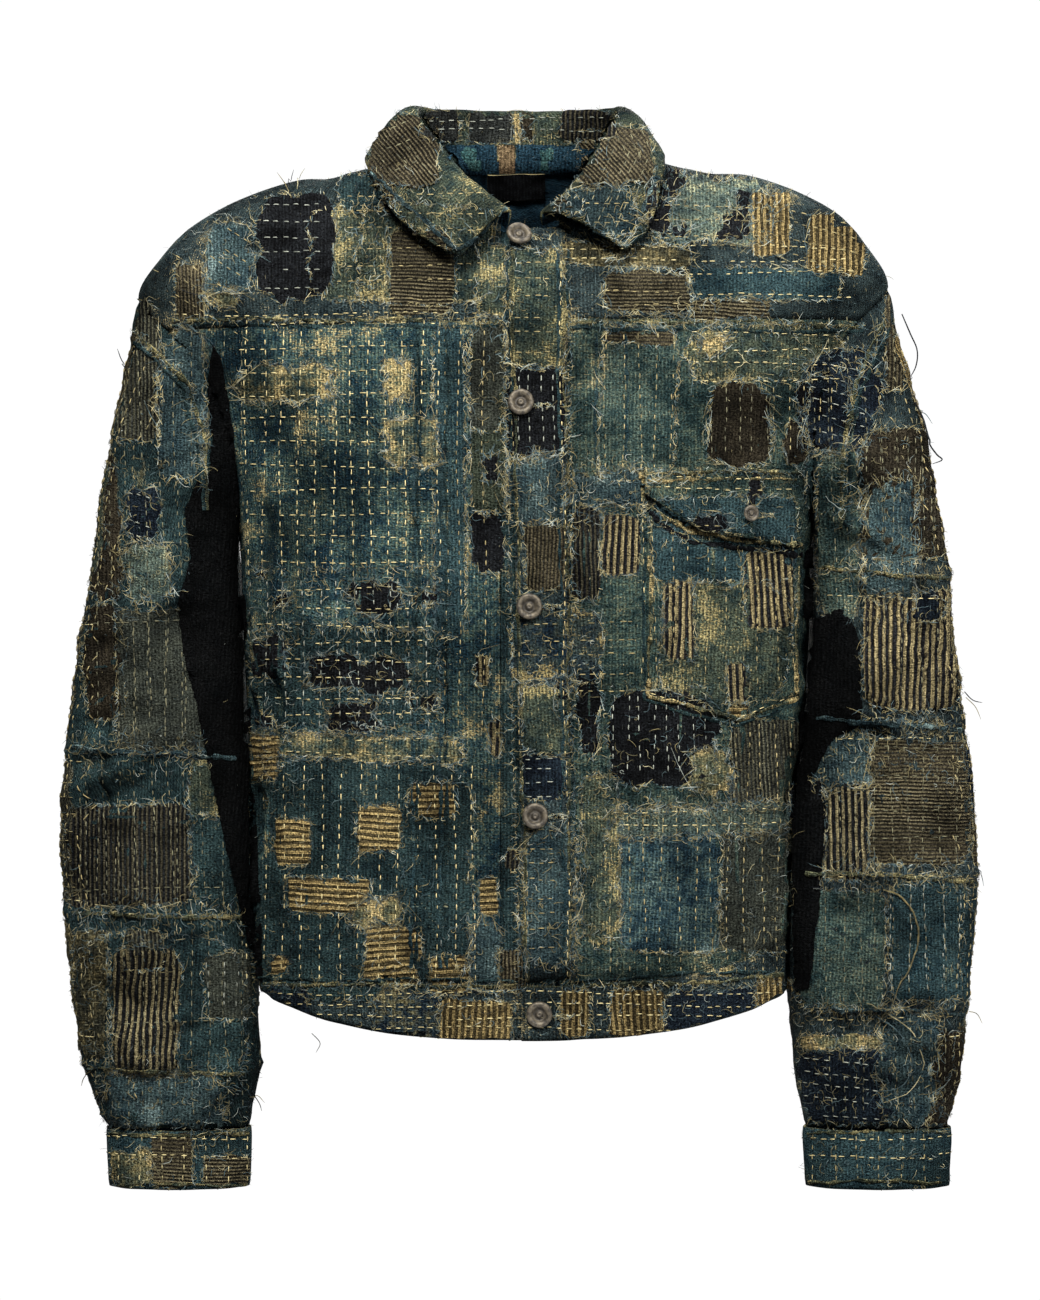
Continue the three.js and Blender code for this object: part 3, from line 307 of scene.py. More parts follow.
BACK_STITCHES = [
    (-180, -20, 180, -20, 0, -12, 7, "tan"), (-246, -60, -184, -40, 0, -13, 5, "tan"),
    (246, -60, 184, -40, 0, -13, 5, "tan"), (-196, -140, -196, -250, 13, 0, 31, "cream"),
    (-198, -150, 198, -150, 0, -17, 7, "tan"), (-196, -262, 196, -262, 0, -12.5, 9, "tan"),
    (-190, -374, -190, -444, 12, 0, 33, "white"), (-194, -452, -194, -572, 13.5, 0, 29, "tan"),
    (-188, -460, 188, -460, 0, -26, 5, "cream"), (-188, -580, 188, -580, 0, -8.5, 4, "cream"),
    (-322, -130, -306, -690, 12, 0, 11, "tan"), (-322, -340, -214, -340, 0, -96, 4, "cream"),
    (210, -130, 224, -690, 12, 0, 11, "tan"), (214, -322, 330, -322, 0, -101, 4, "cream"),
    (-296, -704, -196, -704, 0, -14, 2, "cream"), (208, -704, 306, -704, 0, -14, 2, "cream"),
    (-90, 30, 90, 30, 0, -9, 3, "tan"),
]
SIDE_STITCHES = [
    (-50, -130, -50, -690, 12, 0, 9, "tan"), (-48, -330, 40, -330, 0, -100, 4, "cream"),
    (-36, -704, 14, -704, 0, -14, 2, "cream"), (-46, -446, 30, -446, 0, -11, 8, "tan"),
]

# ---------------------------------------------------------------- small maths


def hermite(keys, values, at):
    """Smooth curve through values at rising or falling keys."""
    keys = np.asarray(keys, float)
    values = np.asarray(values, float)
    if keys[0] > keys[-1]:
        keys, values = keys[::-1], values[::-1]
    slopes = np.empty_like(values)
    slopes[1:-1] = (values[2:] - values[:-2]) / (keys[2:] - keys[:-2])
    slopes[0] = (values[1] - values[0]) / (keys[1] - keys[0])
    slopes[-1] = (values[-1] - values[-2]) / (keys[-1] - keys[-2])
    at = np.clip(at, keys[0], keys[-1])
    i = np.clip(np.searchsorted(keys, at) - 1, 0, len(keys) - 2)
    span = keys[i + 1] - keys[i]
    s = (at - keys[i]) / span
    s2, s3 = s * s, s * s * s
    return ((2 * s3 - 3 * s2 + 1) * values[i] + (s3 - 2 * s2 + s) * slopes[i] * span
            + (3 * s2 - 2 * s3) * values[i + 1] + (s3 - s2) * slopes[i + 1] * span)


def power(value, square):
    return np.sign(value) * np.abs(value) ** (2 / square)


def smooth(start, end, value):
    share = np.clip((value - start) / (end - start), 0, 1)
    return share * share * (3 - 2 * share)


def unit(vectors):
    return vectors / np.maximum(np.linalg.norm(vectors, axis=-1, keepdims=True), 1e-9)


def noise(points, size, seed):
    """Smooth noise from -1 to 1 with features about size millimetres across."""
    table = np.random.default_rng(SEED + seed).uniform(-1, 1, (32, 32, 32))
    scaled = np.asarray(points, float) / size
    cell = np.floor(scaled).astype(int)
    part = scaled - cell
    part = part * part * (3 - 2 * part)
    total = 0
    for dx in (0, 1):
        for dy in (0, 1):
            for dz in (0, 1):
                corner = table[(cell[..., 0] + dx) % 32, (cell[..., 1] + dy) % 32, (cell[..., 2] + dz) % 32]
                weight = ((part[..., 0] if dx else 1 - part[..., 0])
                          * (part[..., 1] if dy else 1 - part[..., 1])
                          * (part[..., 2] if dz else 1 - part[..., 2]))
                total = total + corner * weight
    return total


# ---------------------------------------------------------------- the garment's surfaces


def body_ring(level):
    names = ["front", "side", "back", "right", "left", "chest", "spine", "square"]
    return {n: hermite(BODY_RINGS[:, 0], BODY_RINGS[:, k + 1], level) for k, n in enumerate(names)}


def body_core(angle, level):
    """Smooth body: angle 0 is the centre front, +90 the wearer's left side, 180 the back."""
    angle, level = np.broadcast_arrays(np.asarray(angle, float), np.asarray(level, float))
    ring = body_ring(level)
    sine, cosine = np.sin(np.radians(angle)), np.cos(np.radians(angle))
    x = np.where(sine < 0, ring["right"], ring["left"]) * power(sine, ring["square"])
    depth = np.where(cosine > 0, ring["chest"], ring["spine"])
    end = np.where(cosine > 0, ring["front"], ring["back"])
    z = ring["side"] + (end - ring["side"]) * cosine ** 2
    z = z + SHOULDER_LEAN * (x / SHOULDER_HALF) * smooth(UNDERARM, SHOULDER_TIP, level)
    return np.stack([x, -depth * power(cosine, ring["square"]), z], -1)


def angle_of_x(x, level):
    ring = body_ring(level)
    width = np.where(np.asarray(x) < 0, ring["right"], ring["left"])
    reach = np.minimum(np.abs(x) / width, 1)
    return np.sign(x) * np.degrees(np.arcsin(reach ** (ring["square"] / 2)))


def level_of_z(x, z):
    """Level of the front surface at x whose height is z."""
    low = np.full(np.shape(x), HEM)
    high = np.full(np.shape(x), NECK)
    for _ in range(32):
        middle = (low + high) / 2
        below = body_core(angle_of_x(x, middle), middle)[..., 2] < z
        low = np.where(below, middle, low)
        high = np.where(below, high, middle)
    return (low + high) / 2


def armhole_spread(level):
    share = (np.asarray(level, float) - UNDERARM) / (SHOULDER_TIP - UNDERARM)
    spread = hermite(ARMHOLE_SEAM[:, 0], ARMHOLE_SEAM[:, 1], np.clip(share, 0, 1))
    return np.where((share > 0) & (share < 1), spread, 0)


def sleeve_ring(side, turn, z):
    table = SLEEVES[side]
    outer, inner, deep, mid = (hermite(table[:, 0], table[:, k], z) for k in (1, 2, 3, 4))
    hang = smooth(-660, -560, z) * np.exp(-(((np.mod(turn, 360) - TUCK_TURN) / TUCK_SPREAD) ** 2))
    across = (outer + inner) / 2 + (outer - inner) / 2 * power(np.cos(np.radians(turn)), SLEEVE_SQUARE)
    across = np.maximum(across - TUCK_REACH * hang, inner)
    y = mid - deep * power(np.sin(np.radians(turn)), SLEEVE_SQUARE)
    return np.stack([SIDE_SIGN[side] * across, y, np.broadcast_to(z, np.shape(across))], -1)


def sleeve_core(side, turn, place):
    """place 0 is the armhole, 1 the first full ring, and above it 100 mm of sleeve each."""
    turn, place = np.broadcast_arrays(np.asarray(turn, float), np.asarray(place, float))
    sign = SIDE_SIGN[side]
    sine, cosine = np.sin(np.radians(turn)), np.cos(np.radians(turn))
    level = UNDERARM + (SHOULDER_TIP - UNDERARM) * (1 + cosine) / 2
    facing = np.where(sine > 0, -1, 1)
    start = body_core(sign * (90 + facing * armhole_spread(level)), level)
    start = start + np.stack([sign * 0.9 + 0 * cosine, 0 * cosine, -0.7 * cosine], -1)
    end = sleeve_ring(side, turn, SLEEVE_TOP)
    reach = np.linalg.norm(end - start, axis=-1, keepdims=True)
    low = (1 - cosine) / 2
    leave = unit(np.stack([
        sign * (0.2 + 0.04 * low + 0.3 * sine ** 2),
        -0.12 * sine,
        -(0.98 - 0.01 * low) * (1 - 0.3 * sine ** 2),
    ], -1)) * reach
    arrive = unit(sleeve_ring(side, turn, SLEEVE_TOP - 20) - end) * reach
    s = np.clip(place, 0, 1)[..., None]
    head = ((2 * s ** 3 - 3 * s ** 2 + 1) * start + (s ** 3 - 2 * s ** 2 + s) * leave
            + (3 * s ** 2 - 2 * s ** 3) * end + (s ** 3 - s ** 2) * arrive)
    arm = sleeve_ring(side, turn, SLEEVE_TOP - np.maximum(place - 1, 0) * 100)
    return np.where((place < 1)[..., None], head, arm)


# ---------------------------------------------------------------- folds, troughs positive
# from x, z to x, z, depth, width
FRONT_CREASES = [
    (-222, -165, -120, -265, 4, 15), (-196, -300, -182, -520, 4, 14), (-95, -430, -85, -590, 3, 13),
    (222, -175, 160, -205, 4, 14), (52, -500, 60, -590, -3, 10), (150, -430, 175, -560, 3.5, 15),
    # gathers beside the placket
    (38, -240, 36, -318, 2.2, 5), (52, -243, 55, -322, 2.6, 5), (69, -250, 66, -310, 2.2, 5),
    (24, -480, 30, -585, 2.4, 6), (46, -440, 48, -588, 4.4, 7), (68, -450, 62, -588, 4.0, 7),
    (86, -480, 92, -588, 3.4, 8), (16, -520, 12, -580, 1.8, 5), (-24, -395, -20, -585, 2.8, 6),
    (-42, -420, -46, -586, 3.8, 7), (-64, -470, -68, -586, 3.6, 8), (-90, -510, -84, -588, 3.0, 8),
    (-52, -330, -55, -420, 2.4, 7),
    # drags from the armholes and under the yokes
    (-215, -190, -165, -215, 2.4, 9), (-210, -230, -150, -300, 2.6, 10), (-180, -120, -150, -175, 2.0, 9),
    (210, -205, 150, -300, 2.4, 10), (120, -300, 95, -420, 2.2, 10), (190, -330, 170, -470, 2.6, 11),
    (-130, -330, -150, -480, 2.2, 11), (100, -440, 120, -585, 2.4, 9), (-160, -470, -150, -585, 2.6, 9),
]
BACK_CREASES = [
    (-215, -190, -100, -300, 4.5, 17), (215, -190, 90, -320, 4.5, 17), (-150, -380, -130, -580, 4, 16),
    (140, -380, 150, -580, 4, 16), (0, -430, -12, -590, 3, 15),
    (-190, -240, -150, -380, 2.6, 11), (185, -250, 150, -390, 2.6, 11), (-60, -330, -80, -560, 2.4, 12),
    (60, -330, 85, -570, 2.4, 12), (-20, -170, 10, -320, 2.2, 13), (-100, -120, -60, -190, 2.2, 12),
    (110, -120, 60, -200, 2.2, 12), (30, -480, 36, -585, 2.2, 8), (-44, -480, -36, -585, 2.2, 8),
]
# from turn, z to turn, z, depth, width
SLEEVE_CREASES = [
    (20, -330, 120, -380, 4, 13), (110, -440, 20, -480, 4, 13), (10, -520, 100, -560, 3.5, 12),
    (300, -400, 350, -470, 4, 14), (30, -655, 130, -660, 4, 9), (230, -640, 340, -655, 4, 10),
    (40, -180, 70, -290, 2.6, 10), (60, -290, 120, -335, 2.2, 8), (30, -395, 95, -425, 2.6, 8),
    (70, -480, 130, -500, 2.2, 8), (25, -565, 75, -610, 2.8, 9), (60, -600, 120, -630, 2.4, 8),
    (15, -625, 70, -640, 2.4, 7), (35, -676, 100, -684, 2.6, 6), (100, -670, 150, -690, 2.4, 6),
    (220, -330, 320, -380, 3, 12), (240, -480, 330, -540, 3, 11), (230, -570, 320, -600, 3, 9),
    (240, -672, 330, -684, 2.6, 7), (290, -250, 330, -330, 3, 12), (340, -560, 380, -600, 2.6, 9),
]
PLEAT_LINES = (52, 72)
PLEAT_RISE, PLEAT_TURN = 2.4, 2.5


def troughs(creases, across, up):
    total = np.zeros(np.shape(across))
    for ax, az, bx, bz, deep, wide in creases:
        dx, dz = bx - ax, bz - az
        along = np.clip(((across - ax) * dx + (up - az) * dz) / (dx * dx + dz * dz), 0, 1)
        off = np.hypot(across - ax - dx * along, up - az - dz * along)
        total += deep * (0.45 + 0.55 * np.sin(np.pi * along)) * np.exp(-((off / wide) ** 2))
    return total


def pleats(x, z):
    rise = np.zeros(np.shape(x))
    off = np.abs(x)
    for line in PLEAT_LINES:
        rise += PLEAT_RISE * smooth(line + 1, line - PLEAT_TURN + 1, off) * smooth(line - 20, line - 6, off)
    return np.where(z > PLEAT_TOP, 0, rise)


def crumple(points, seed):
    """Small unevenness of a layered, washed and hand-stitched cloth."""
    return (1.6 * noise(points, 48, seed) + 1.5 * noise(points, 21, seed + 1)
            + 1.25 * noise(points, 10.5, seed + 2))


def ridges(points, sizes, seed):
    """Folds with sharp crests, as long and as wide as sizes say in each direction."""
    return 0.55 - np.abs(noise(np.asarray(points) / sizes, 1.0, seed)) * 2.2


def on_chart(points):
    """Where a point of the front stands on the front chart."""
    x, y, z = points[..., 0], points[..., 1], points[..., 2]
    share = (CHART_Y - EYE[1]) / (y - EYE[1])
    return x * share, EYE[2] + (z - EYE[2]) * share


def quilting(points):
    """Stitch rows draw the cloth in, so that it stands up between them."""
    across, up = on_chart(points)
    total = np.zeros(across.shape)
    for ax, az, bx, bz, step_x, step_z, count, _ in FRONT_STITCHES:
        for k in range(count):
            ex, ez = ax + step_x * k, az + step_z * k
            dx, dz = bx - ax, bz - az
            along = np.clip(((across - ex) * dx + (up - ez) * dz) / (dx * dx + dz * dz), 0, 1)
            off = np.hypot(across - ex - dx * along, up - ez - dz * along)
            total = np.maximum(total, np.exp(-((off / 3.0) ** 2)))
    return -0.9 * total


def body_relief(points):
    x, y, z = points[..., 0], points[..., 1], points[..., 2]
    calm = 1 - 0.75 * smooth(-575, -600, z)
    front = pleats(x, z) - calm * troughs(FRONT_CREASES, x, z) + quilting(points)
    back = -calm * troughs(BACK_CREASES, x, z)
    around = np.degrees(np.arctan2(x / 200, -y / 115))
    gathers = 1.5 * np.sin(np.radians(around * 17) + 2 * noise(points, 40, 5)) * smooth(-520, -572, z)
    tall = 3.4 * ridges(points, (21, 21, 95), 15) * smooth(-130, -300, z)
    slant = np.stack([x + 0.6 * z, y, z - 0.4 * x], -1)
    loose = 2.4 * ridges(slant, (34, 34, 52), 16)
    relief = np.where(y < 0, front, back) + calm * (tall + loose - 1.4) + crumple(points, 10)
    side = smooth(22, 4, np.abs(y)) * smooth(-200, -260, z)
    relief = relief * (1 - side) + (2.6 * smooth(-400, -470, z) - 0.2) * side
    return relief - np.abs(gathers) * smooth(-600, -588, z)


# ---------------------------------------------------------------- meshes


def mesh_object(name, verts, faces, uv=None, materials=(), material_index=None, smooth_shade=True):
    """verts in millimetres, faces (n, 3) or (n, 4), uv one pair of millimetres for each vert."""
    faces = np.asarray(faces, np.int32)
    mesh = bpy.data.meshes.new(name)
    mesh.vertices.add(len(verts))
    mesh.vertices.foreach_set("co", (np.asarray(verts, np.float32) * 0.001).ravel())
    count, corners = faces.shape
    mesh.loops.add(count * corners)
    mesh.loops.foreach_set("vertex_index", faces.ravel())
    mesh.polygons.add(count)
    mesh.polygons.foreach_set("loop_start", np.arange(0, count * corners, corners, dtype=np.int32))
    for material in materials:
        mesh.materials.append(material)
    if material_index is not None:
        mesh.polygons.foreach_set("material_index", np.asarray(material_index, np.int32))
    mesh.update(calc_edges=True)
    if smooth_shade:
        mesh.polygons.foreach_set("use_smooth", np.ones(count, bool))
    if uv is not None:
        layer = mesh.uv_layers.new(name="cloth")
        layer.data.foreach_set("uv", (np.asarray(uv, np.float32)[faces.ravel()] * 0.001).ravel())
    obj = bpy.data.objects.new(name, mesh)
    bpy.context.scene.collection.objects.link(obj)
    return obj


def grid_normals(points, centre):
    """Unit normals of a grid of points that face away from centre."""
    east = np.gradient(points, axis=1)
    north = np.gradient(points, axis=0)
    normal = unit(np.cross(east, north))
    away = points - centre
    if np.mean(np.sum(normal * away, -1)) < 0:
        normal = -normal
    return normal


def arc_lengths(points, axis):
    steps = np.linalg.norm(np.diff(points, axis=axis), axis=-1)
    start = np.zeros_like(np.take(steps, [0], axis=axis))
    return np.concatenate([start, np.cumsum(steps, axis=axis)], axis=axis)


def grid_quads(grid):
    """Four-sided faces of a grid of vertex numbers."""
    return np.stack([grid[:-1, :-1], grid[:-1, 1:], grid[1:, 1:], grid[1:, :-1]], -1).reshape(-1, 4)


class Shell:
    """A piece of cloth: a grid of outer points and the same moved in by the wall."""

    def __init__(self, name, points, normals, wall, uv, rounded=False):
        self.name = name
        self.outer = points
        self.inner = points - normals * wall
        self.normals = normals
        self.uv = uv
        self.rounded = rounded

    def build(self, cloth, inside, edge):
        rows, columns = self.outer.shape[:2]
        count = rows * columns
        grid = np.arange(count).reshape(rows, columns)
        if self.rounded:
            grid = np.concatenate([grid, grid[:, :1]], axis=1)
        quads = grid_quads(grid)
        first = self.outer.reshape(-1, 3)[quads[0]]
        facing = np.cross(first[1] - first[0], first[3] - first[0])
        flipped = np.dot(facing, self.normals.reshape(-1, 3)[quads[0, 0]]) < 0
        loops = [grid[0][::-1], grid[-1]]
        if not self.rounded:
            loops += [grid[:, 0], grid[:, -1][::-1]]
        rims = np.concatenate([
            np.stack([line[:-1], line[1:], line[1:] + count, line[:-1] + count], -1) for line in loops
        ])
        if flipped:
            quads, rims = quads[:, ::-1], rims[:, ::-1]
        faces = np.concatenate([quads, quads[:, ::-1] + count, rims])
        index = np.concatenate([np.zeros(len(quads)), np.ones(len(quads)), np.full(len(rims), 2)])
        verts = np.concatenate([self.outer.reshape(-1, 3), self.inner.reshape(-1, 3)])
        uv = np.concatenate([self.uv.reshape(-1, 2)] * 2)
        return mesh_object(f"{self.name}_cloth", verts, faces, uv, [cloth, inside, edge], index)


def make_shell(name, core, relief, wall=CLOTH, lift=0.0, centre=(0, 0, -300), rounded=False, roll=0.9):
    """core is a grid of points; relief their push outward. Seam edges roll in by roll."""
    normals = grid_normals(core, np.asarray(centre, float))
    across, up = arc_lengths(core, 1), arc_lengths(core, 0)
    edge = np.minimum(up, up[-1:] - up)
    if not rounded:
        edge = np.minimum(edge, np.minimum(across, across[:, -1:] - across))
    push = relief + lift - roll * np.exp(-((edge / 3.0) ** 2))
    points = core + normals * push[..., None]
    return Shell(name, points, normals, wall, np.stack([across, up], -1), rounded)


def even_row(core_at, start, end, count):
    """count + 1 parameters from start to end, evenly spaced along the line that core_at draws."""
    fine = np.linspace(start, end, 160)
    lengths = arc_lengths(core_at(fine)[None], 1)[0]
    return np.interp(np.linspace(0, lengths[-1], count + 1), lengths, fine)


def body_grid(low, high, from_angle, to_angle, columns, step=MESH_STEP):
    """Grid on the body between two levels; the angles are functions of the level."""
    levels = np.linspace(low, high, max(3, int(round((high - low) / step)) + 1))
    rows = []
    for level in levels:
        angles = even_row(lambda a: body_core(a, level), from_angle(level), to_angle(level), columns)
        rows.append(body_core(angles, level))
    return np.array(rows)


def edge_from_side(level):
    return float(armhole_spread(level)) + 0.15


def armhole_calm(core, relief):
    """Folds fade at the armhole, where the sleeve is sewn on."""
    across = arc_lengths(core, 1)
    off = np.minimum(across, across[:, -1:] - across)
    sewn = smooth(UNDERARM - 30, UNDERARM, core[..., 2]) * smooth(130, 170, np.abs(core[..., 0]))
    return relief * (1 - sewn * smooth(30, 0, off))


def sewn_in(core, relief, down=(0, 0, -8), sunk=BAND + 1.2, first=True):
    """Folds fade at a seam, and the cloth runs on past it, sunk behind what it is sewn to."""
    if not first:
        core, relief = core[::-1], relief[::-1]
    relief = relief * smooth(-3, 20, arc_lengths(core, 0))
    core = np.concatenate([core[:1] + down, core])
    relief = np.concatenate([relief[:1] * 0 - sunk, relief])
    return (core, relief) if first else (core[::-1], relief[::-1])


def body_shells():
    shells = []
    seam = 0.2
    pieces = [
        ("front_right", -1, 14.0, BAND_TOP + seam, FRONT_YOKE_LEVEL - seam),
        ("front_left", 1, 28.0, BAND_TOP + seam, FRONT_YOKE_LEVEL - seam),
        ("yoke_front_right", -1, 14.0, FRONT_YOKE_LEVEL + seam, NECK),
        ("yoke_front_left", 1, 28.0, FRONT_YOKE_LEVEL + seam, NECK),
    ]
    for name, side, inner, low, high in pieces:
        core = body_grid(
            low, high,
            lambda level, s=side, x=inner: float(angle_of_x(s * x, level)),
            lambda level, s=side: s * (90 - edge_from_side(level)),
            58, MESH_STEP,
        )
        relief = armhole_calm(core, body_relief(core))
        if low < FRONT_YOKE_LEVEL:
            core, relief = sewn_in(core, relief)
        else:
            core, relief = sewn_in(core, relief, (0, 0, 6), 0.3, first=False)
        shells.append(make_shell(name, core, relief))
    for name, low, high in (("back_panel", BAND_TOP + seam, BACK_YOKE_LEVEL - seam),
                            ("yoke_back", BACK_YOKE_LEVEL + seam, NECK)):
        core = body_grid(low, high, lambda level: 90 + edge_from_side(level),
                         lambda level: 270 - edge_from_side(level), 112)
        relief = armhole_calm(core, body_relief(core))
        if low < BACK_YOKE_LEVEL:
            core, relief = sewn_in(core, relief)
        else:
            core, relief = sewn_in(core, relief, (0, 0, 6), 0.3, first=False)
        shells.append(make_shell(name, core, relief))
    return shells


def placket_line(z, top, hem):
    return top + (hem - top) * np.clip((PLACKET_TOP - z) / (PLACKET_TOP - HEM), 0, 1)


def opening_shells():
    levels = np.linspace(BAND_TOP + 2, NECK - 20, 170)
    z = body_core(0.0, levels)[:, 2]
    left, right = placket_line(z, -8.5, 3.5), placket_line(z, 32.0, 37.0)
    share = np.linspace(0, 1, 14)
    x = left[:, None] + (right - left)[:, None] * share
    core = body_core(angle_of_x(x, levels[:, None]), levels[:, None])
    lift = CLOTH + 1.3
    placket = make_shell("placket", core, body_relief(core) * 0.8, lift=lift, roll=1.0)
    x = np.broadcast_to(np.linspace(-13.7, 25, 12), (len(levels), 12))
    core = body_core(angle_of_x(x, levels[:, None]), levels[:, None])
    stand = make_shell("button_stand", *sewn_in(core, body_relief(core) * 0.7 - 0.4, (0, 0, -10)))
    return [placket, stand]


def band_shells():
    shells = []
    spans = [
        ("waistband_right", lambda level: -89.88, lambda level: float(angle_of_x(23, level)), 56),
        ("waistband_left", lambda level: float(angle_of_x(1, level)), lambda level: 89.88, 52),
        ("waistband_back", lambda level: 90.12, lambda level: 269.88, 92),
    ]
    for name, start, end, columns in spans:
        core = body_grid(HEM, BAND_TOP - 0.3, start, end, columns, 4.2)
        around = np.degrees(np.arctan2(core[..., 0] / 195, -core[..., 1] / 110))
        puckers = 0.8 * np.sin(np.radians(around * 23)) + 0.5 * noise(core, 9, 40)
        lap = smooth(48, 30, core[..., 0]) * (BAND + 0.8) * (name == "waistband_left")
        shells.append(make_shell(name, core, puckers + lap, BAND, 0.8, roll=0.7))
    return shells


# heights of the seams that run across each sleeve, where one run of patches meets the next
CROSS_SEAMS = {"right": (-424, -541, -652), "left": (-294, -402, -512, -610)}


def sleeve_relief(side, core, turn):
    wrapped = np.mod(turn, 360) + np.zeros(core.shape[:2])
    z = core[..., 2]
    calm = smooth(0, 60, np.abs(wrapped - 180)) * smooth(SLEEVE_END, SLEEVE_END + 22, z)
    shift = 12 if side == "left" else 0
    relief = -calm * troughs(SLEEVE_CREASES, wrapped, z + shift)
    turned_back = [(a - 360, b, c - 360, d, e, f) for a, b, c, d, e, f in SLEEVE_CREASES]
    relief -= calm * troughs(turned_back, wrapped, z)
    gathers = np.abs(np.sin(np.radians(wrapped * 5) + 2 * noise(core, 30, 7))) * smooth(-640, -690, z)
    seams = sum(np.exp(-(((z - line) / 3.2) ** 2)) for line in CROSS_SEAMS[side])
    slant = np.stack([core[..., 0], core[..., 1], z + 0.35 * core[..., 0] * SIDE_SIGN[side]], -1)
    folds = 4.6 * ridges(slant, (62, 62, 27), 33 + shift) + 2.6 * ridges(slant, (32, 32, 16), 35 + shift)
    outer = smooth(75, 20, np.minimum(wrapped, 360 - wrapped))
    loose = calm * (folds - 2.6) + crumple(core, 30 + shift)
    relief = relief * (1 - 0.5 * outer) + loose * (1 - 0.68 * outer) - 1.6 * gathers + 1.7 * seams
    beside = smooth(80, 46, np.abs(wrapped - 198)) * smooth(-640, -590, z)
    near = (0.1 + 2.2 * smooth(-400, -470, z)) * beside
    return np.minimum(relief, 6.0) * (1 - beside) + near + quilting(core) * (wrapped < 150)


def sleeve_shells():
    shells = []
    last = 1 + (SLEEVE_TOP - SLEEVE_END - 0.4) / 100
    for side in ("right", "left"):
        places = np.concatenate([
            np.linspace(0, 1, 40, endpoint=False), np.linspace(1, last, int(398 / MESH_STEP)),
        ])
        for part, start, end in (("front", 60, 240), ("back", 240, 420)):
            rows = []
            turns = []
            for place in places:
                turn = even_row(lambda t: sleeve_core(side, t, place), start + 0.1, end - 0.1, 44)
                rows.append(sleeve_core(side, turn, place))
                turns.append(turn)
            core, turn = np.array(rows), np.array(turns)
            sign = SIDE_SIGN[side]
            tucked = core[0] - unit(core[1] - core[0]) * 4 - [sign * 4.0, 0, 0]
            tucked[:, 1] *= 0.97
            core = np.concatenate([tucked[None], core])
            turn = np.concatenate([turn[:1], turn])
            centre = np.array([[[sign * SLEEVE_MIDDLE, -10, 0]]]) * np.ones(core.shape)
            centre[..., 2] = core[..., 2]
            away = arc_lengths(core, 0) - 5
            relief = sleeve_relief(side, core, turn) * smooth(0, 26, away) - 1.6 * smooth(7, 0, away)
            shells.append(make_shell(f"sleeve_{side}_{part}", core, relief, centre=centre))
    return shells


def cuff_shells():
    shells = []
    for side in ("right", "left"):
        turn = even_row(lambda t: sleeve_ring(side, t, SLEEVE_END), 0, 360, 72)[:-1]
        ring = sleeve_ring(side, turn, SLEEVE_END)
        middle = (sleeve_ring(side, 0.0, SLEEVE_END) + sleeve_ring(side, 180.0, SLEEVE_END)) / 2
        heights = np.linspace(CUFF_BOTTOM, SLEEVE_END - 0.3, 12)
        share = np.linspace(0, 1, 12)[:, None, None]
        spoke = ring - middle
        core = middle + spoke * (1 - 0.03 * (1 - share))
        core[..., 2] = heights[:, None]
        pucker = 0.7 * np.sin(np.radians(turn * 9))[None, :] * np.ones((12, 1)) + 0.5 * noise(core, 10, 60)
        shells.append(make_shell(f"cuff_{side}", core, pucker, BAND, 0.6, middle * [1, 1, 0] + [0, 0, -720],
                                 rounded=True, roll=0.6))
    return shells


def curve_through(points, share):
    """Catmull-Rom line through points at shares from 0 to 1, spaced by chord length."""
    chords = np.linalg.norm(np.diff(points, axis=0), axis=1) ** 0.5
    keys = np.concatenate([[0], np.cumsum(chords)])
    return np.stack([hermite(keys, points[:, k], share * keys[-1]) for k in range(3)], -1)


def collar_core():
    """One cloth: up the neck side of the stand, over the fold and down the outside of the fall."""
    share = np.linspace(0, 1, 171)
    turns = np.interp(share, np.linspace(0, 1, len(COLLAR_TURNS)), COLLAR_TURNS)
    neck = body_core(turns, NECK)
    fold = curve_through(COLLAR_FOLD, share)
    edge = curve_through(COLLAR_EDGE, share)
    inward = unit(-fold * [1, 1, 0])
    bottom = neck + unit(-neck * [1, 1, 0]) * 3.7 + [0, 0, 1]
    top = fold + inward * 5.2 + [0, 0, -5.2]
    rows = [bottom + (top - bottom) * step for step in np.linspace(0, 1, 10)]
    rows.append(fold + inward * 4.6 + [0, 0, -2.6])
    start = fold + inward * 3.5 + [0, 0, -1]
    control = fold + (edge - fold) * 0.22 - inward * 7 + [0, 0, 9]
    for step in np.linspace(0, 1, 22):
        rows.append(start * (1 - step) ** 2 + control * 2 * step * (1 - step) + edge * step ** 2)
    return np.array(rows)


def collar_object_shell():
    core = collar_core()
    east = np.gradient(core, axis=1)
    north = np.gradient(core, axis=0)
    normals = unit(np.cross(east, north))
    if normals[-6, 85, 1] < 0:
        normals = -normals
    relief = 0.55 * crumple(core, 70)
    up = arc_lengths(core, 0)
    rim = np.minimum(up[-1:] - up, np.minimum(arc_lengths(core, 1), arc_lengths(core[:, ::-1], 1)[:, ::-1]))
    relief -= 0.7 * np.exp(-((rim / 3) ** 2))
    points = core + normals * relief[..., None]
    uv = np.stack([arc_lengths(core, 1), up], -1)
    return Shell("collar", points, normals, 2.0, uv)


def on_front(x, z):
    """The front surface at x and height z."""
    level = level_of_z(x, z)
    return body_core(angle_of_x(x, level), level)


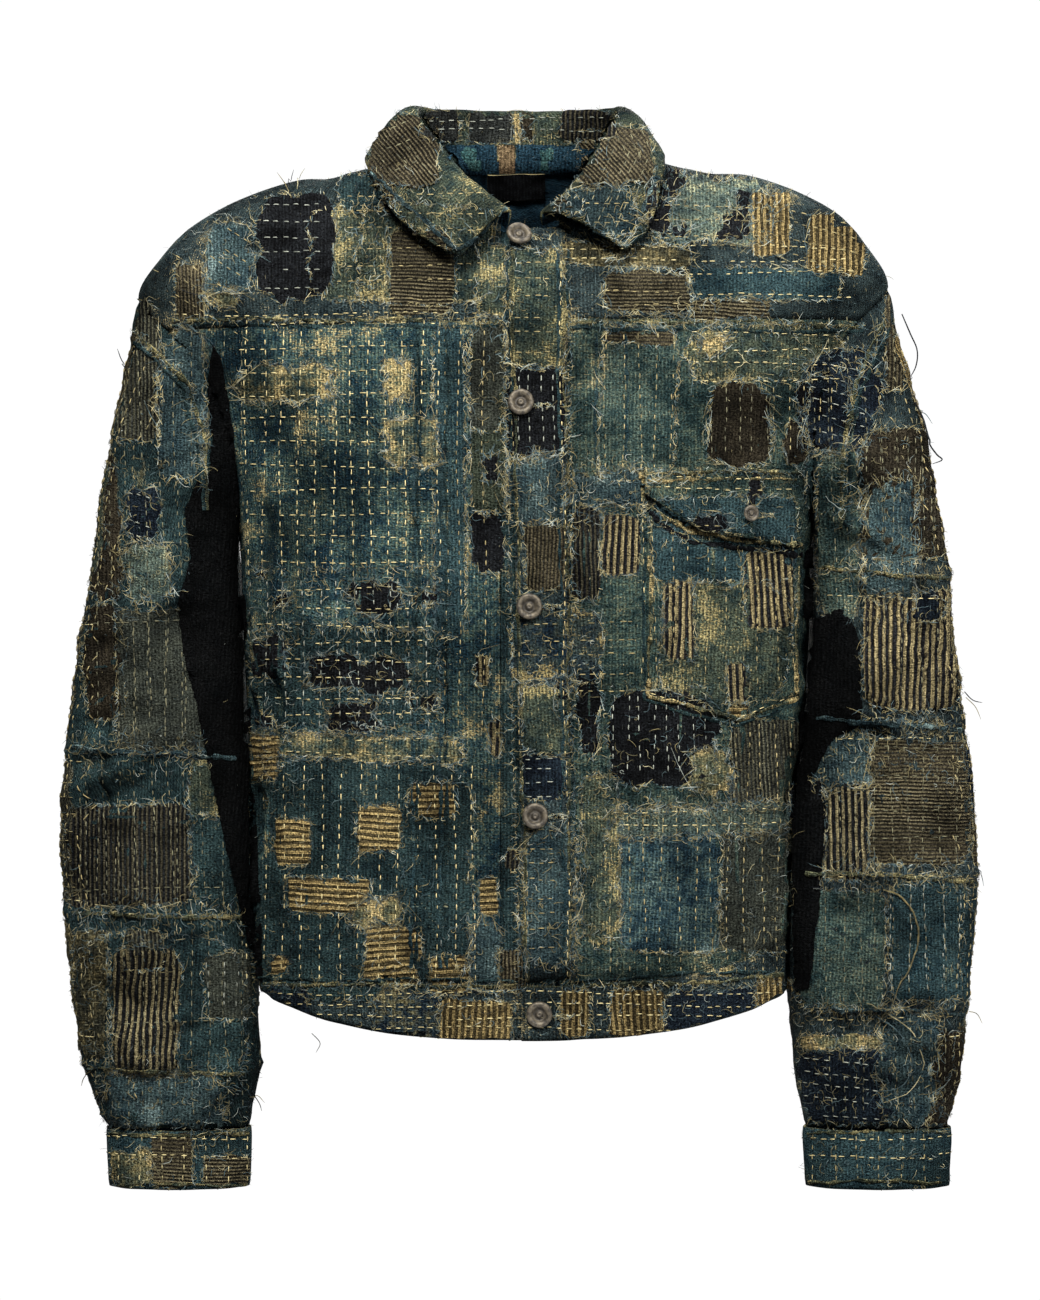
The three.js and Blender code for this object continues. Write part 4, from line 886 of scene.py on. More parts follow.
def pocket_shells():
    across, up = np.meshgrid(np.linspace(0, 1, 36), np.linspace(0, 1, 48))
    x = 92 + 109 * across
    share = np.where(x < 158, (x - 92) / 66, (201 - x) / 43)
    bottom = -383 - 18 * share
    z = bottom + (-236 - bottom) * up
    core = on_front(x, z)
    puff = 2 * np.sin(np.pi * across) * np.sin(np.pi * np.minimum(up * 1.2, 1))
    pocket = make_shell("chest_pocket", core, body_relief(core) + puff, lift=CLOTH + 0.6, roll=1.2)
    across, up = np.meshgrid(np.linspace(0, 1, 38), np.linspace(0, 1, 20))
    x = 87 + 117 * across
    drop = np.where(across < 0.35, -240 - 26 * across / 0.35, -266 - 11 * (across - 0.35) / 0.65)
    z = drop + (-221 - drop) * up
    core = on_front(x, z)
    stand_off = 2 * CLOTH + 3.3 + 5 * (1 - up) * np.sin(np.pi * across)
    flap = make_shell("pocket_flap", core, body_relief(core) + stand_off, roll=1.2)
    return [pocket, flap]


def label_shell():
    x, level = np.meshgrid(np.linspace(-25, 19, 24), np.linspace(36, 112, 30))
    core = body_core(180 - angle_of_x(x, level), level)
    normals = grid_normals(core, np.array([0, 0, -300.0]))
    under = body_relief(core) - CLOTH - 1.3 - 0.25 * noise(core, 16, 90)
    face = core + normals * under[..., None]
    uv = np.stack([x - x.min(), level - level.min()], -1)
    return Shell("neck_label", face, -normals, -0.8, uv)


# ---------------------------------------------------------------- cloth materials


def linear(colour):
    return tuple(((c / 255 + 0.055) / 1.055) ** 2.4 if c > 10 else c / 3294.6 for c in colour) + (1.0,)


class Graph:
    """A short way to write a material's nodes."""

    def __init__(self, name):
        self.material = bpy.data.materials.new(name)
        self.material.use_nodes = True
        self.tree = self.material.node_tree
        self.tree.nodes.clear()

    def add(self, kind, inputs=(), **settings):
        node = self.tree.nodes.new(kind)
        for key, value in settings.items():
            setattr(node, key, value)
        for key, value in dict(inputs).items():
            if isinstance(value, bpy.types.NodeSocket):
                self.tree.links.new(value, node.inputs[key])
            else:
                node.inputs[key].default_value = value
        return node

    def math(self, operation, a, b=0.0, c=0.0):
        return self.add("ShaderNodeMath", {0: a, 1: b, 2: c}, operation=operation).outputs[0]

    def scaled(self, vector, x, y, z=1.0):
        node = self.add("ShaderNodeVectorMath", {0: vector, 1: (x, y, z)}, operation="MULTIPLY")
        return node.outputs[0]

    def noise(self, vector, size, detail=2.0, rough=0.55):
        node = self.add("ShaderNodeTexNoise", {"Vector": vector, "Scale": 1 / size, "Detail": detail,
                                               "Roughness": rough})
        return node.outputs["Fac"]

    def step(self, value, low, high):
        node = self.add("ShaderNodeMapRange", {"Value": value, "From Min": low, "From Max": high},
                        interpolation_type="SMOOTHSTEP")
        return node.outputs["Result"]

    def mix(self, share, a, b, blend="MIX"):
        node = self.add("ShaderNodeMix", data_type="RGBA", blend_type=blend)
        for slot_index, value in ((0, share), (6, a), (7, b)):
            if isinstance(value, bpy.types.NodeSocket):
                self.tree.links.new(value, node.inputs[slot_index])
            else:
                node.inputs[slot_index].default_value = value
        return node.outputs[2]

    def millimetres(self):
        """Places on the object in millimetres."""
        return self.scaled(self.add("ShaderNodeTexCoord").outputs["Object"], 1000, 1000, 1000)

    def finish(self, shader):
        out = self.add("ShaderNodeOutputMaterial")
        self.tree.links.new(shader.outputs[0], out.inputs[0])
        return self.material


def bars(graph, along, pitch, share):
    """Soft bars across a coordinate: 1 on the bar, 0 between."""
    phase = graph.math("MULTIPLY", along, 2 * math.pi / pitch)
    wave = graph.math("SINE", phase)
    edge = math.cos(math.pi * share)
    return graph.step(wave, edge - 0.35, edge + 0.35)


def cloth_material(name, dark, mid, worn, wear, ribs, checks):
    """ribs: (pitch, share, colour, depth). checks: (pitch, share, colour). Colours are 0 to 255."""
    graph = Graph(name)
    place = graph.millimetres()
    flat = graph.scaled(graph.add("ShaderNodeUVMap", uv_map="cloth").outputs["UV"], 1000, 1000, 1)
    rim = graph.add("ShaderNodeAttribute", attribute_name="wear").outputs["Fac"]
    blotch = graph.noise(place, 30, 4, 0.62)
    speck = graph.noise(place, 6, 3)
    drift = graph.noise(place, 24, 1)
    weft = graph.noise(graph.scaled(flat, 0.24, 1.05), 1.0, 2, 0.6)
    warp = graph.noise(graph.scaled(flat, 1.05, 0.24, 7.0), 1.0, 2, 0.6)
    thread = graph.math("MAXIMUM", weft, warp)
    gaps = graph.noise(graph.scaled(flat, 0.62, 0.8), 1.0, 2, 0.7)
    tone = graph.math("MULTIPLY_ADD", blotch, 0.5, graph.math("MULTIPLY", speck, 0.5))
    colour = graph.mix(graph.step(tone, 0.36, 0.62), linear(dark), linear(mid))
    sway = graph.math("MULTIPLY", graph.math("SUBTRACT", drift, 0.5), 2.4)
    u, v, _ = graph.add("ShaderNodeSeparateXYZ", {0: flat}).outputs
    across = graph.math("ADD", u, sway)
    height = graph.math("MULTIPLY", thread, 1.1)
    if ribs:
        pitch, share, rib_colour, depth = ribs
        bar = bars(graph, across, pitch, share)
        faint = graph.math("MULTIPLY", bar, graph.step(speck, 0.2, 0.5))
        colour = graph.mix(faint, colour, linear(rib_colour))
        height = graph.math("MULTIPLY_ADD", bar, depth, height)
    if checks:
        pitch, share, check_colour = checks
        upward = graph.math("ADD", v, sway)
        lines = graph.math("MAXIMUM", bars(graph, across, pitch, share), bars(graph, upward, pitch, share))
        faded = graph.math("MULTIPLY", lines, graph.step(tone, 0.42, 0.68))
        colour = graph.mix(faded, colour, linear(check_colour))
    grain = bars(graph, across, 2.5, 0.5)
    height = graph.math("MULTIPLY_ADD", grain, 0.5, height)
    rubbed = graph.step(graph.math("MULTIPLY_ADD", rim, 0.1, blotch), 0.66 - 0.22 * wear, 0.84 - 0.22 * wear)
    bar_height = graph.math("MULTIPLY_ADD", rubbed, 0.2, graph.math("MULTIPLY_ADD", grain, 0.03, thread))
    showing = graph.step(bar_height, 0.68, 0.77)
    paled = graph.math("MULTIPLY", showing, 0.2 + 0.58 * min(wear + 0.35, 1))
    colour = graph.mix(paled, colour, linear(worn))
    shade = graph.math("MULTIPLY_ADD", gaps, 5.2, -1.62)
    shade = graph.math("MINIMUM", graph.math("MAXIMUM", shade, 0.1), 1.9)
    worn_patch = graph.step(graph.noise(place, 62, 2), 0.3, 0.62)
    shade = graph.math("MULTIPLY", shade, graph.math("MULTIPLY_ADD", worn_patch, 0.75, 0.56))
    shade = graph.math("MULTIPLY", shade, graph.math("MULTIPLY_ADD", grain, 0.36, 0.78))
    shades = graph.add("ShaderNodeCombineColor", {0: shade, 1: shade, 2: shade}).outputs[0]
    colour = graph.mix(1.0, colour, shades, "MULTIPLY")
    crumpled = graph.noise(place, 5.0, 3)
    height = graph.math("ADD", height, graph.math("MULTIPLY", crumpled, 1.5))
    height = graph.math("MULTIPLY_ADD", gaps, 1.4, height)
    bump = graph.add("ShaderNodeBump", {"Height": height, "Strength": 1.0, "Distance": 0.0034})
    shader = graph.add("ShaderNodeBsdfPrincipled", {
        "Base Color": colour, "Normal": bump.outputs[0], "Roughness": 0.93,
        "Specular IOR Level": 0.02,
    })
    return graph.finish(shader)


def thread_material(name, colour, other):
    graph = Graph(name)
    place = graph.millimetres()
    share = graph.step(graph.noise(place, 9, 2), 0.4, 0.6)
    fibre = graph.noise(place, 0.6, 2)
    mixed = graph.mix(share, linear(colour), linear(other))
    bump = graph.add("ShaderNodeBump", {"Height": fibre, "Strength": 0.6, "Distance": 0.0003})
    shader = graph.add("ShaderNodeBsdfPrincipled", {
        "Base Color": mixed, "Normal": bump.outputs[0], "Roughness": 0.85, "Specular IOR Level": 0.05,
    })
    return graph.finish(shader)


WORN, PALE_BLUE = (156, 144, 108), (106, 124, 124)
# name: dark, mid, worn, wear, ribs, checks
FABRICS = {
    "indigo": ((25, 34, 38), (50, 62, 64), WORN, 0.42, None, None),
    "indigo_deep": ((22, 35, 39), (42, 59, 61), (130, 126, 96), 0.25, None, None),
    "teal": ((28, 44, 46), (54, 71, 68), WORN, 0.5, None, (4.4, 0.3, (86, 94, 78))),
    "teal_plain": ((26, 43, 50), (48, 67, 71), (112, 118, 96), 0.3, None, None),
    "sashiko": ((22, 40, 50), (48, 70, 73), (166, 150, 106), 0.6, None, (3.6, 0.34, (84, 97, 84))),
    "green_plain": ((36, 43, 37), (56, 63, 53), (106, 104, 78), 0.2, None, None),
    "grey_plain": ((36, 40, 38), (56, 60, 54), (100, 98, 78), 0.15, None, None),
    "black": ((11, 12, 14), (25, 27, 30), (66, 68, 64), 0.05, None, None),
    "navy": ((13, 18, 26), (28, 37, 46), (80, 88, 84), 0.1, None, None),
    "brown_dark": ((28, 26, 22), (47, 43, 35), (100, 92, 68), 0.15, None, None),
    "tan_worn": ((50, 60, 54), (100, 98, 72), (178, 158, 112), 0.85, None, (3.4, 0.4, (132, 120, 84))),
    "cream": ((110, 104, 74), (150, 140, 102), (184, 174, 134), 0.5, None, None),
    "mottle_tan": ((30, 44, 46), (68, 76, 64), (152, 140, 98), 0.75, None, None),
    "fray_blue": ((30, 45, 52), (58, 74, 76), PALE_BLUE, 0.6, None, None),
    "fray_pale": ((42, 56, 58), (78, 90, 82), (140, 140, 112), 0.6, None, None),
    "floral": ((20, 34, 46), (56, 66, 62), (150, 134, 90), 0.7, None, None),
    "rib_tan": ((44, 39, 28), (74, 66, 47), (160, 144, 102), 0.2, (4.4, 0.5, (146, 128, 87), 2.2), None),
    "rib_brown": ((28, 27, 23), (46, 43, 37), (112, 104, 82), 0.2, (2.6, 0.5, (88, 82, 64), 2.0), None),
    "rib_grey": ((26, 28, 28), (44, 46, 43), (98, 96, 78), 0.15, (2.8, 0.5, (74, 74, 62), 2.0), None),
    "rib_dark": ((17, 18, 21), (31, 33, 34), (86, 82, 66), 0.1, (3.4, 0.45, (66, 63, 51), 2.0), None),
    "stripe_tan": ((18, 19, 23), (34, 35, 37), (136, 124, 90), 0.15, (4.8, 0.5, (132, 121, 90), 1.4), None),
    "stripe_dark": ((14, 15, 17), (28, 30, 32), (110, 106, 84), 0.15, (4.6, 0.45, (116, 108, 82), 1.4), None),
    "check_fine": ((32, 48, 50), (58, 75, 72), WORN, 0.35, None, (2.8, 0.4, (84, 94, 82))),
    "check_blue": ((24, 41, 51), (48, 68, 74), PALE_BLUE, 0.35, None, (3.4, 0.35, (82, 98, 92))),
    "check_tan": ((42, 44, 38), (70, 68, 52), WORN, 0.4, None, (4.4, 0.35, (112, 102, 72))),
    "tan_check": ((38, 54, 56), (78, 86, 70), (172, 154, 108), 0.8, None, (3.8, 0.45, (136, 124, 88))),
    "plaid": ((20, 31, 41), (40, 52, 55), WORN, 0.35, None, (8.0, 0.35, (104, 98, 68))),
    "inside_blue": ((20, 38, 50), (35, 58, 72), (110, 106, 84), 0.1, None, None),
    "inside_teal": ((34, 62, 66), (56, 84, 84), (120, 118, 92), 0.15, None, None),
    "inside_tan": ((84, 68, 52), (112, 96, 74), (130, 116, 90), 0.1, None, None),
    "shade_black": ((4, 5, 6), (10, 11, 12), (28, 30, 28), 0.02, None, None),
    "grey_dark": ((28, 31, 32), (46, 49, 48), (92, 92, 80), 0.12, None, None),
    "edge": ((40, 48, 44), (78, 80, 60), (146, 136, 98), 0.7, None, None),
}
# hole patches are near-black cloth laid over torn holes: the near-black is painted shade of the inside seen
# through the tear
ALIASES = {
    "hole": "black", "check_pale": "check_fine", "cream_check": "tan_check", "rib_tan_h": "rib_tan",
    "rib_tan_v": "rib_tan", "rib_brown_h": "rib_brown", "rib_brown_v": "rib_brown",
    "rib_brown_d": "rib_brown",
    "rib_grey_v": "rib_grey", "rib_dark_v": "rib_dark", "stripe_tan_v": "stripe_tan",
    "stripe_dark_v": "stripe_dark",
}
CLOTHS = {name: cloth_material(name, *facts) for name, facts in FABRICS.items()}
# thread: main colour and the other that it fades to
THREAD_COLOURS = {
    "thread_cream": ((156, 150, 122), (112, 108, 84)),
    "thread_tan": ((118, 110, 80), (78, 74, 56)),
    "thread_white": ((144, 150, 144), (98, 106, 104)),
    "thread_blue": ((76, 92, 96), (46, 60, 66)),
    "thread_dark": ((34, 38, 42), (20, 22, 26)),
    "stitch_cream": ((184, 172, 130), (142, 132, 98)),
    "stitch_tan": ((146, 134, 98), (100, 94, 70)),
    "stitch_white": ((138, 142, 134), (98, 102, 96)),
    "stitch_dim": ((104, 102, 82), (72, 72, 60)),
}
THREADS = {name.replace("thread_", ""): thread_material(name, *pair) for name, pair in THREAD_COLOURS.items()}
THREAD_ORDER = list(THREADS)


def fabric_of(word):
    return ALIASES.get(word, word)


# ---------------------------------------------------------------- the base garment
# piece: cloth, colour slot, then the width and length in metres that show, all round on a tube
PIECES = {
    "front_right": ("sashiko", "boro_indigo", 0.27, 0.47),
    "front_left": ("teal", "boro_teal", 0.27, 0.47),
    "yoke_front_right": ("indigo", "boro_dark", 0.27, 0.17),
    "yoke_front_left": ("indigo", "boro_indigo", 0.27, 0.17),
    "back_panel": ("indigo", "boro_indigo", 0.5, 0.44),
    "yoke_back": ("indigo", "boro_dark", 0.56, 0.22),
    "placket": ("indigo", "boro_indigo", 0.045, 0.56),
    "button_stand": ("indigo_deep", "boro_dark", 0.045, 0.56),
    "waistband_right": ("indigo", "boro_brown", 0.27, 0.04),
    "waistband_left": ("indigo", "boro_brown", 0.26, 0.04),
    "waistband_back": ("indigo", "boro_brown", 0.49, 0.04),
    "chest_pocket": ("teal", "boro_teal", 0.11, 0.16),
    "pocket_flap": ("teal", "boro_teal", 0.12, 0.05),
    "sleeve_right_front": ("indigo_deep", "boro_indigo", 0.21, 0.56),
    "sleeve_right_back": ("indigo_deep", "boro_dark", 0.21, 0.56),
    "sleeve_left_front": ("indigo", "boro_indigo", 0.21, 0.56),
    "sleeve_left_back": ("indigo", "boro_dark", 0.21, 0.56),
    "cuff_right": ("teal_plain", "boro_brown", 0.28, 0.045),
    "cuff_left": ("teal_plain", "boro_brown", 0.28, 0.045),
    "collar": ("mottle_tan", "boro_indigo", 0.46, 0.12),
}
shells = body_shells() + opening_shells() + band_shells() + pocket_shells() + sleeve_shells() + cuff_shells()
shells.append(collar_object_shell())
base = {}


def settle(obj):
    """Every piece is sewn to the one body."""
    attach(obj, "root")


def nodes_of(name):
    """The CAD nodes that a piece stands for."""
    if name == "collar":
        return ["collar_stand", "collar_fall"]
    if name.startswith("sleeve"):
        return [f"{name}_upper", f"{name}_lower"]
    return [name]


def set_wear(obj, values):
    layer = obj.data.attributes.new("wear", "FLOAT", "POINT")
    layer.data.foreach_set("value", np.asarray(values, np.float32))


for shell in shells:
    cloth, slot, _, _ = PIECES[shell.name]
    obj = shell.build(CLOTHS[cloth], CLOTHS["inside_blue"], CLOTHS["edge"])
    across, up = arc_lengths(shell.outer, 1), arc_lengths(shell.outer, 0)
    rim = np.minimum(up, up[-1:] - up)
    if not shell.rounded:
        rim = np.minimum(rim, np.minimum(across, across[:, -1:] - across))
    worn = np.exp(-rim / 5).ravel()
    set_wear(obj, np.concatenate([worn, worn * 0]))
    settle(obj)
    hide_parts(*nodes_of(shell.name))
    base[shell.name] = obj


def garment_tree(objects):
    verts, faces, start = [], [], 0
    for obj in objects:
        mesh = obj.data
        points = np.empty(len(mesh.vertices) * 3, np.float32)
        mesh.vertices.foreach_get("co", points)
        verts.append(points.reshape(-1, 3) * 1000)
        mesh.calc_loop_triangles()
        corners = np.empty(len(mesh.loop_triangles) * 3, np.int32)
        mesh.loop_triangles.foreach_get("vertices", corners)
        faces.append(corners.reshape(-1, 3) + start)
        start += len(mesh.vertices)
    return BVHTree.FromPolygons(np.concatenate(verts).tolist(), np.concatenate(faces).tolist())


tree = garment_tree(base.values())


# ---------------------------------------------------------------- charts: flat boards thrown on the cloth


def throw(chart, points, onto):
    """Where chart points land: places, normals towards the thrower, and which of them landed."""
    points = np.asarray(points, float).reshape(-1, 2)
    places = np.zeros((len(points), 3))
    normals = np.zeros((len(points), 3))
    landed = np.zeros(len(points), bool)
    for k, (a, b) in enumerate(points):
        if chart == "front":
            start = Vector(EYE)
            way = Vector((a, CHART_Y, b)) - start
        elif chart == "back":
            start = Vector((0, -EYE[1], EYE[2]))
            way = Vector((a, -CHART_Y, b)) - start
        else:
            sign = -1 if chart == "side_right" else 1
            start = Vector((sign * 900, a, b))
            way = Vector((-sign, 0, 0))
        way.normalize()
        spot, normal, _, _ = onto.ray_cast(start, way)
        if spot is not None:
            if normal.dot(way) > 0:
                normal = -normal
            places[k], normals[k], landed[k] = spot, normal, normal.dot(way) < -0.08
    return places, normals, landed


class Bag:
    """Meshes gathered into one object, with a material for each face."""

    def __init__(self):
        self.verts, self.faces, self.uv, self.wear, self.index, self.count = [], [], [], [], [], 0

    def put(self, verts, faces, uv, wear, index):
        self.verts.append(verts)
        self.faces.append(np.asarray(faces, int) + self.count)
        self.uv.append(uv)
        self.wear.append(wear)
        self.index.append(np.broadcast_to(index, (len(faces),)))
        self.count += len(verts)

    def build(self, name, materials):
        obj = mesh_object(name, np.concatenate(self.verts), np.concatenate(self.faces),
                          np.concatenate(self.uv), materials, np.concatenate(self.index))
        set_wear(obj, np.concatenate(self.wear))
        return obj


def ragged_outline(x0, x1, z0, z1, rough, seed, torn=False):
    """A hand-cut, worn outline round a rectangle, its corners rounded and its edges uneven."""
    dice = np.random.default_rng(SEED + 500 + seed)
    wide, tall = (x1 - x0) / 2, (z1 - z0) / 2
    around = 2 * math.sqrt((wide ** 2 + tall ** 2) * 2) * 2
    count = max(16, int(around / 3.0))
    turn = np.linspace(0, 2 * math.pi, count, endpoint=False)
    square = dice.uniform(3.6, 7.5) if torn else dice.uniform(5, 13)
    c, s = np.cos(turn), np.sin(turn)
    reach = (np.abs(c) ** square + np.abs(s) ** square) ** (-1 / square)
    waves = range(2 if torn else 3, max(12, count // 5))
    ripple = sum(dice.uniform(0.2, 1) / n ** 0.45 * np.sin(n * turn + dice.uniform(0, 6.3)) for n in waves)
    wobble = 1 + rough * 0.62 * ripple / np.maximum(np.hypot(reach * c * wide, reach * s * tall), 5)
    lean = dice.uniform(-0.06, 0.06)
    x = reach * c * wide * wobble
    z = reach * s * tall * wobble
    return np.stack([(x0 + x1) / 2 + x + lean * z, (z0 + z1) / 2 + z - lean * x], -1)


def inside_outline(points, outline):
    x, z = points[:, 0], points[:, 1]
    inside = np.zeros(len(points), bool)
    for a, b in zip(outline, np.roll(outline, -1, axis=0)):
        crosses = (a[1] > z) != (b[1] > z)
        with np.errstate(divide="ignore", invalid="ignore"):
            at = a[0] + (z - a[1]) * (b[0] - a[0]) / (b[1] - a[1])
        inside ^= crosses & (x < at)
    return inside


def gap_to_outline(points, outline):
    return np.min(np.linalg.norm(points[:, None] - outline[None], axis=-1), axis=1)


PATCH_STEP = 4.0
LONGEST_SIDE = 17
TORN_CLOTHS = ("black", "navy", "brown_dark", "indigo_deep", "mottle_tan", "fray_pale", "fray_blue",
               "tan_worn", "cream", "floral", "tan_check")
WASHED_CLOTHS = ("tan_worn", "tan_check", "cream", "floral", "mottle_tan")


def distances(line):
    """How far along a line each of its points is."""
    return np.concatenate([[0], np.cumsum(np.linalg.norm(np.diff(line, axis=0), axis=1))])


def points_at(line, run, at):
    """Chart points at distances along a line whose own points are at run."""
    return np.stack([np.interp(at, run, line[:, k]) for k in (0, 1)], -1)


def uneven_outline(corners, seed):
    """A closed line through given corners, with a slightly uneven edge."""
    dice = np.random.default_rng(SEED + 700 + seed)
    closed = np.array(list(corners) + [corners[0]], float)
    run = distances(closed)
    line = points_at(closed, run, np.arange(0, run[-1] - 1.5, 3.0))
    return line + dice.uniform(-0.6, 0.6, line.shape)


LAYER_RISE = 0.42
TOP_LAYER = 7
laid = []


def layer_of(chart, low, high):
    """Layer of a new patch: one above the patches that it overlaps, and never past TOP_LAYER."""
    under = [layer for other, a, b, layer in laid
             if other == chart and (low < b - 3).all() and (high > a + 3).all()]
    layer = min(TOP_LAYER, 1 + max(under, default=-1))
    laid.append((chart, low, high, layer))
    return layer


def lay_patch(bag, chart, fabric, box, order, rough=1.8, corners=None, above=0.0):
    torn = fabric_of(fabric) in TORN_CLOTHS
    if corners is None:
        outline = ragged_outline(*box, max(rough, 2.0) * 1.7 if torn else rough, order, torn)
    else:
        outline = uneven_outline(corners, order)
    (x0, z0), (x1, z1) = outline.min(axis=0), outline.max(axis=0)
    dice = np.random.default_rng(SEED + 900 + order)
    gx, gz = np.meshgrid(np.arange(x0, x1 + 3, PATCH_STEP), np.arange(z0, z1 + 3, PATCH_STEP))
    grid = np.stack([gx.ravel(), gz.ravel()], -1)
    grid = grid + dice.uniform(-0.6, 0.6, grid.shape)
    grid = grid[inside_outline(grid, outline)]
    if len(grid):
        grid = grid[gap_to_outline(grid, outline) > 1.9]
    points = np.concatenate([outline, grid])
    count = len(outline)
    edges = [(k, (k + 1) % count) for k in range(count)]
    flat, _, faces, _, _, _ = delaunay_2d_cdt([Vector(p) for p in points], edges, [], 1, 0.01)
    flat = np.array([tuple(p) for p in flat])
    faces = np.array([f for f in faces if len(f) == 3])
    if not len(faces):
        return None
    places, normals, landed = throw(chart, flat, tree)
    rim = gap_to_outline(flat, outline)
    rise = LAYER_RISE * layer_of(chart, outline.min(axis=0), outline.max(axis=0))
    raise_by = 0.55 + rise + 0.3 * noise(places, 7, 120) + above
    washed = fabric_of(fabric) in WASHED_CLOTHS
    hem = (0.0 if washed else 0.8) * np.exp(-(((rim - 2.0) / 1.3) ** 2))
    lift = 0.15 + 0.6 * rise + (raise_by - 0.15 - 0.6 * rise) * smooth(0, 1.2, rim) + hem
    verts = places + normals * lift[:, None]
    sides = np.linalg.norm(verts[faces] - np.roll(verts[faces], 1, axis=1), axis=-1).max(axis=1)
    kept = landed[faces].all(axis=1) & (sides < LONGEST_SIDE)
    if not kept.any():
        return None
    faces = faces[kept]
    edge_a = verts[faces[:, 1]] - verts[faces[:, 0]]
    edge_b = verts[faces[:, 2]] - verts[faces[:, 0]]
    flipped = np.sum(np.cross(edge_a, edge_b) * normals[faces[:, 0]], -1) < 0
    faces[flipped] = faces[flipped][:, ::-1]
    turn = {"h": 90, "d": 38}.get(fabric.rsplit("_", 1)[-1], 0) + dice.uniform(-4, 4)
    c, s = math.cos(math.radians(turn)), math.sin(math.radians(turn))
    uv = np.stack([flat[:, 0] * c + flat[:, 1] * s, flat[:, 1] * c - flat[:, 0] * s], -1)
    uv = uv + dice.uniform(0, 300, 2)
    names = list(CLOTHS)
    bag.put(verts, faces, uv, np.exp(-rim / 2.6), names.index(fabric_of(fabric)))
    return outline, rise


def ribbons(bag, paths, normals, width, index):
    """paths (n, k, 3): thin strips of thread, as wide as width in the middle."""
    n, k, _ = paths.shape
    along = np.gradient(paths, axis=1)
    side = unit(np.cross(along, normals[:, None]))
    taper = np.interp(np.linspace(0, 1, k), [0, 0.2, 0.75, 1], [0.8, 1, 0.85, 0.35])
    half = side * (np.reshape(width, (-1, 1, 1)) * taper[None, :, None] / 2)
    verts = np.stack([paths - half, paths + half], axis=2).reshape(-1, 3)
    cells = (np.arange(n)[:, None] * k + np.arange(k - 1)[None]).ravel() * 2
    quads = np.stack([cells, cells + 1, cells + 3, cells + 2], -1)
    faces = np.concatenate([quads[:, [0, 1, 2]], quads[:, [0, 2, 3]]])
    per = np.repeat(np.asarray(index), k - 1)
    bag.put(verts, faces, np.zeros((len(verts), 2)), np.zeros(len(verts)), np.concatenate([per, per]))


def fray_edge(bag, chart, outline, seed, length=3.4, every=1.5, shades=(0.3, 0.25, 0.1, 0.3, 0.05), rise=0.0):
    dice = np.random.default_rng(SEED + 2000 + seed)
    closed = np.concatenate([outline, outline[:1]])
    run = distances(closed)
    count = int(run[-1] / every)
    if count < 4:
        return
    at = np.sort(dice.uniform(0, run[-1], count))
    spot = points_at(closed, run, at)
    ahead = points_at(closed, run, (at + 1.5) % run[-1])
    along = unit(ahead - spot)
    out = np.stack([along[:, 1], -along[:, 0]], -1)
    reach = length * dice.uniform(0.25, 1.2, count) * np.where(dice.uniform(size=count) > 0.95, 2.4, 1)
    lean, curl = dice.normal(0, 1.3, count), dice.normal(0, 0.8, count)
    marks = []
    for share in (-0.4, 0.2, 0.65, 1.0):
        aside = lean * share * abs(share) + curl * math.sin(3 * share)
        marks.append(spot + out * (share * reach)[:, None] + along * (aside * reach)[:, None])
    thrown = [throw(chart, mark, tree) for mark in marks]
    ok = thrown[0][2] & thrown[1][2] & thrown[2][2] & thrown[3][2]
    paths = np.stack([t[0] for t in thrown], axis=1)
    normals = thrown[1][1]
    spread = np.linalg.norm(np.diff(paths, axis=1), axis=-1).max(axis=1)
    ok &= spread < 16
    lifts = np.stack([np.full(count, 0.8), dice.uniform(0.9, 1.7, count), dice.uniform(0.8, 2.2, count),
                      dice.uniform(0.3, 2.4, count)], 1)
    paths = paths + normals[:, None] * (lifts[..., None] + rise)
    index = dice.choice(5, count, p=shades)
    if ok.any():
        ribbons(bag, paths[ok], normals[ok], dice.uniform(0.28, 0.48, ok.sum()), index[ok])


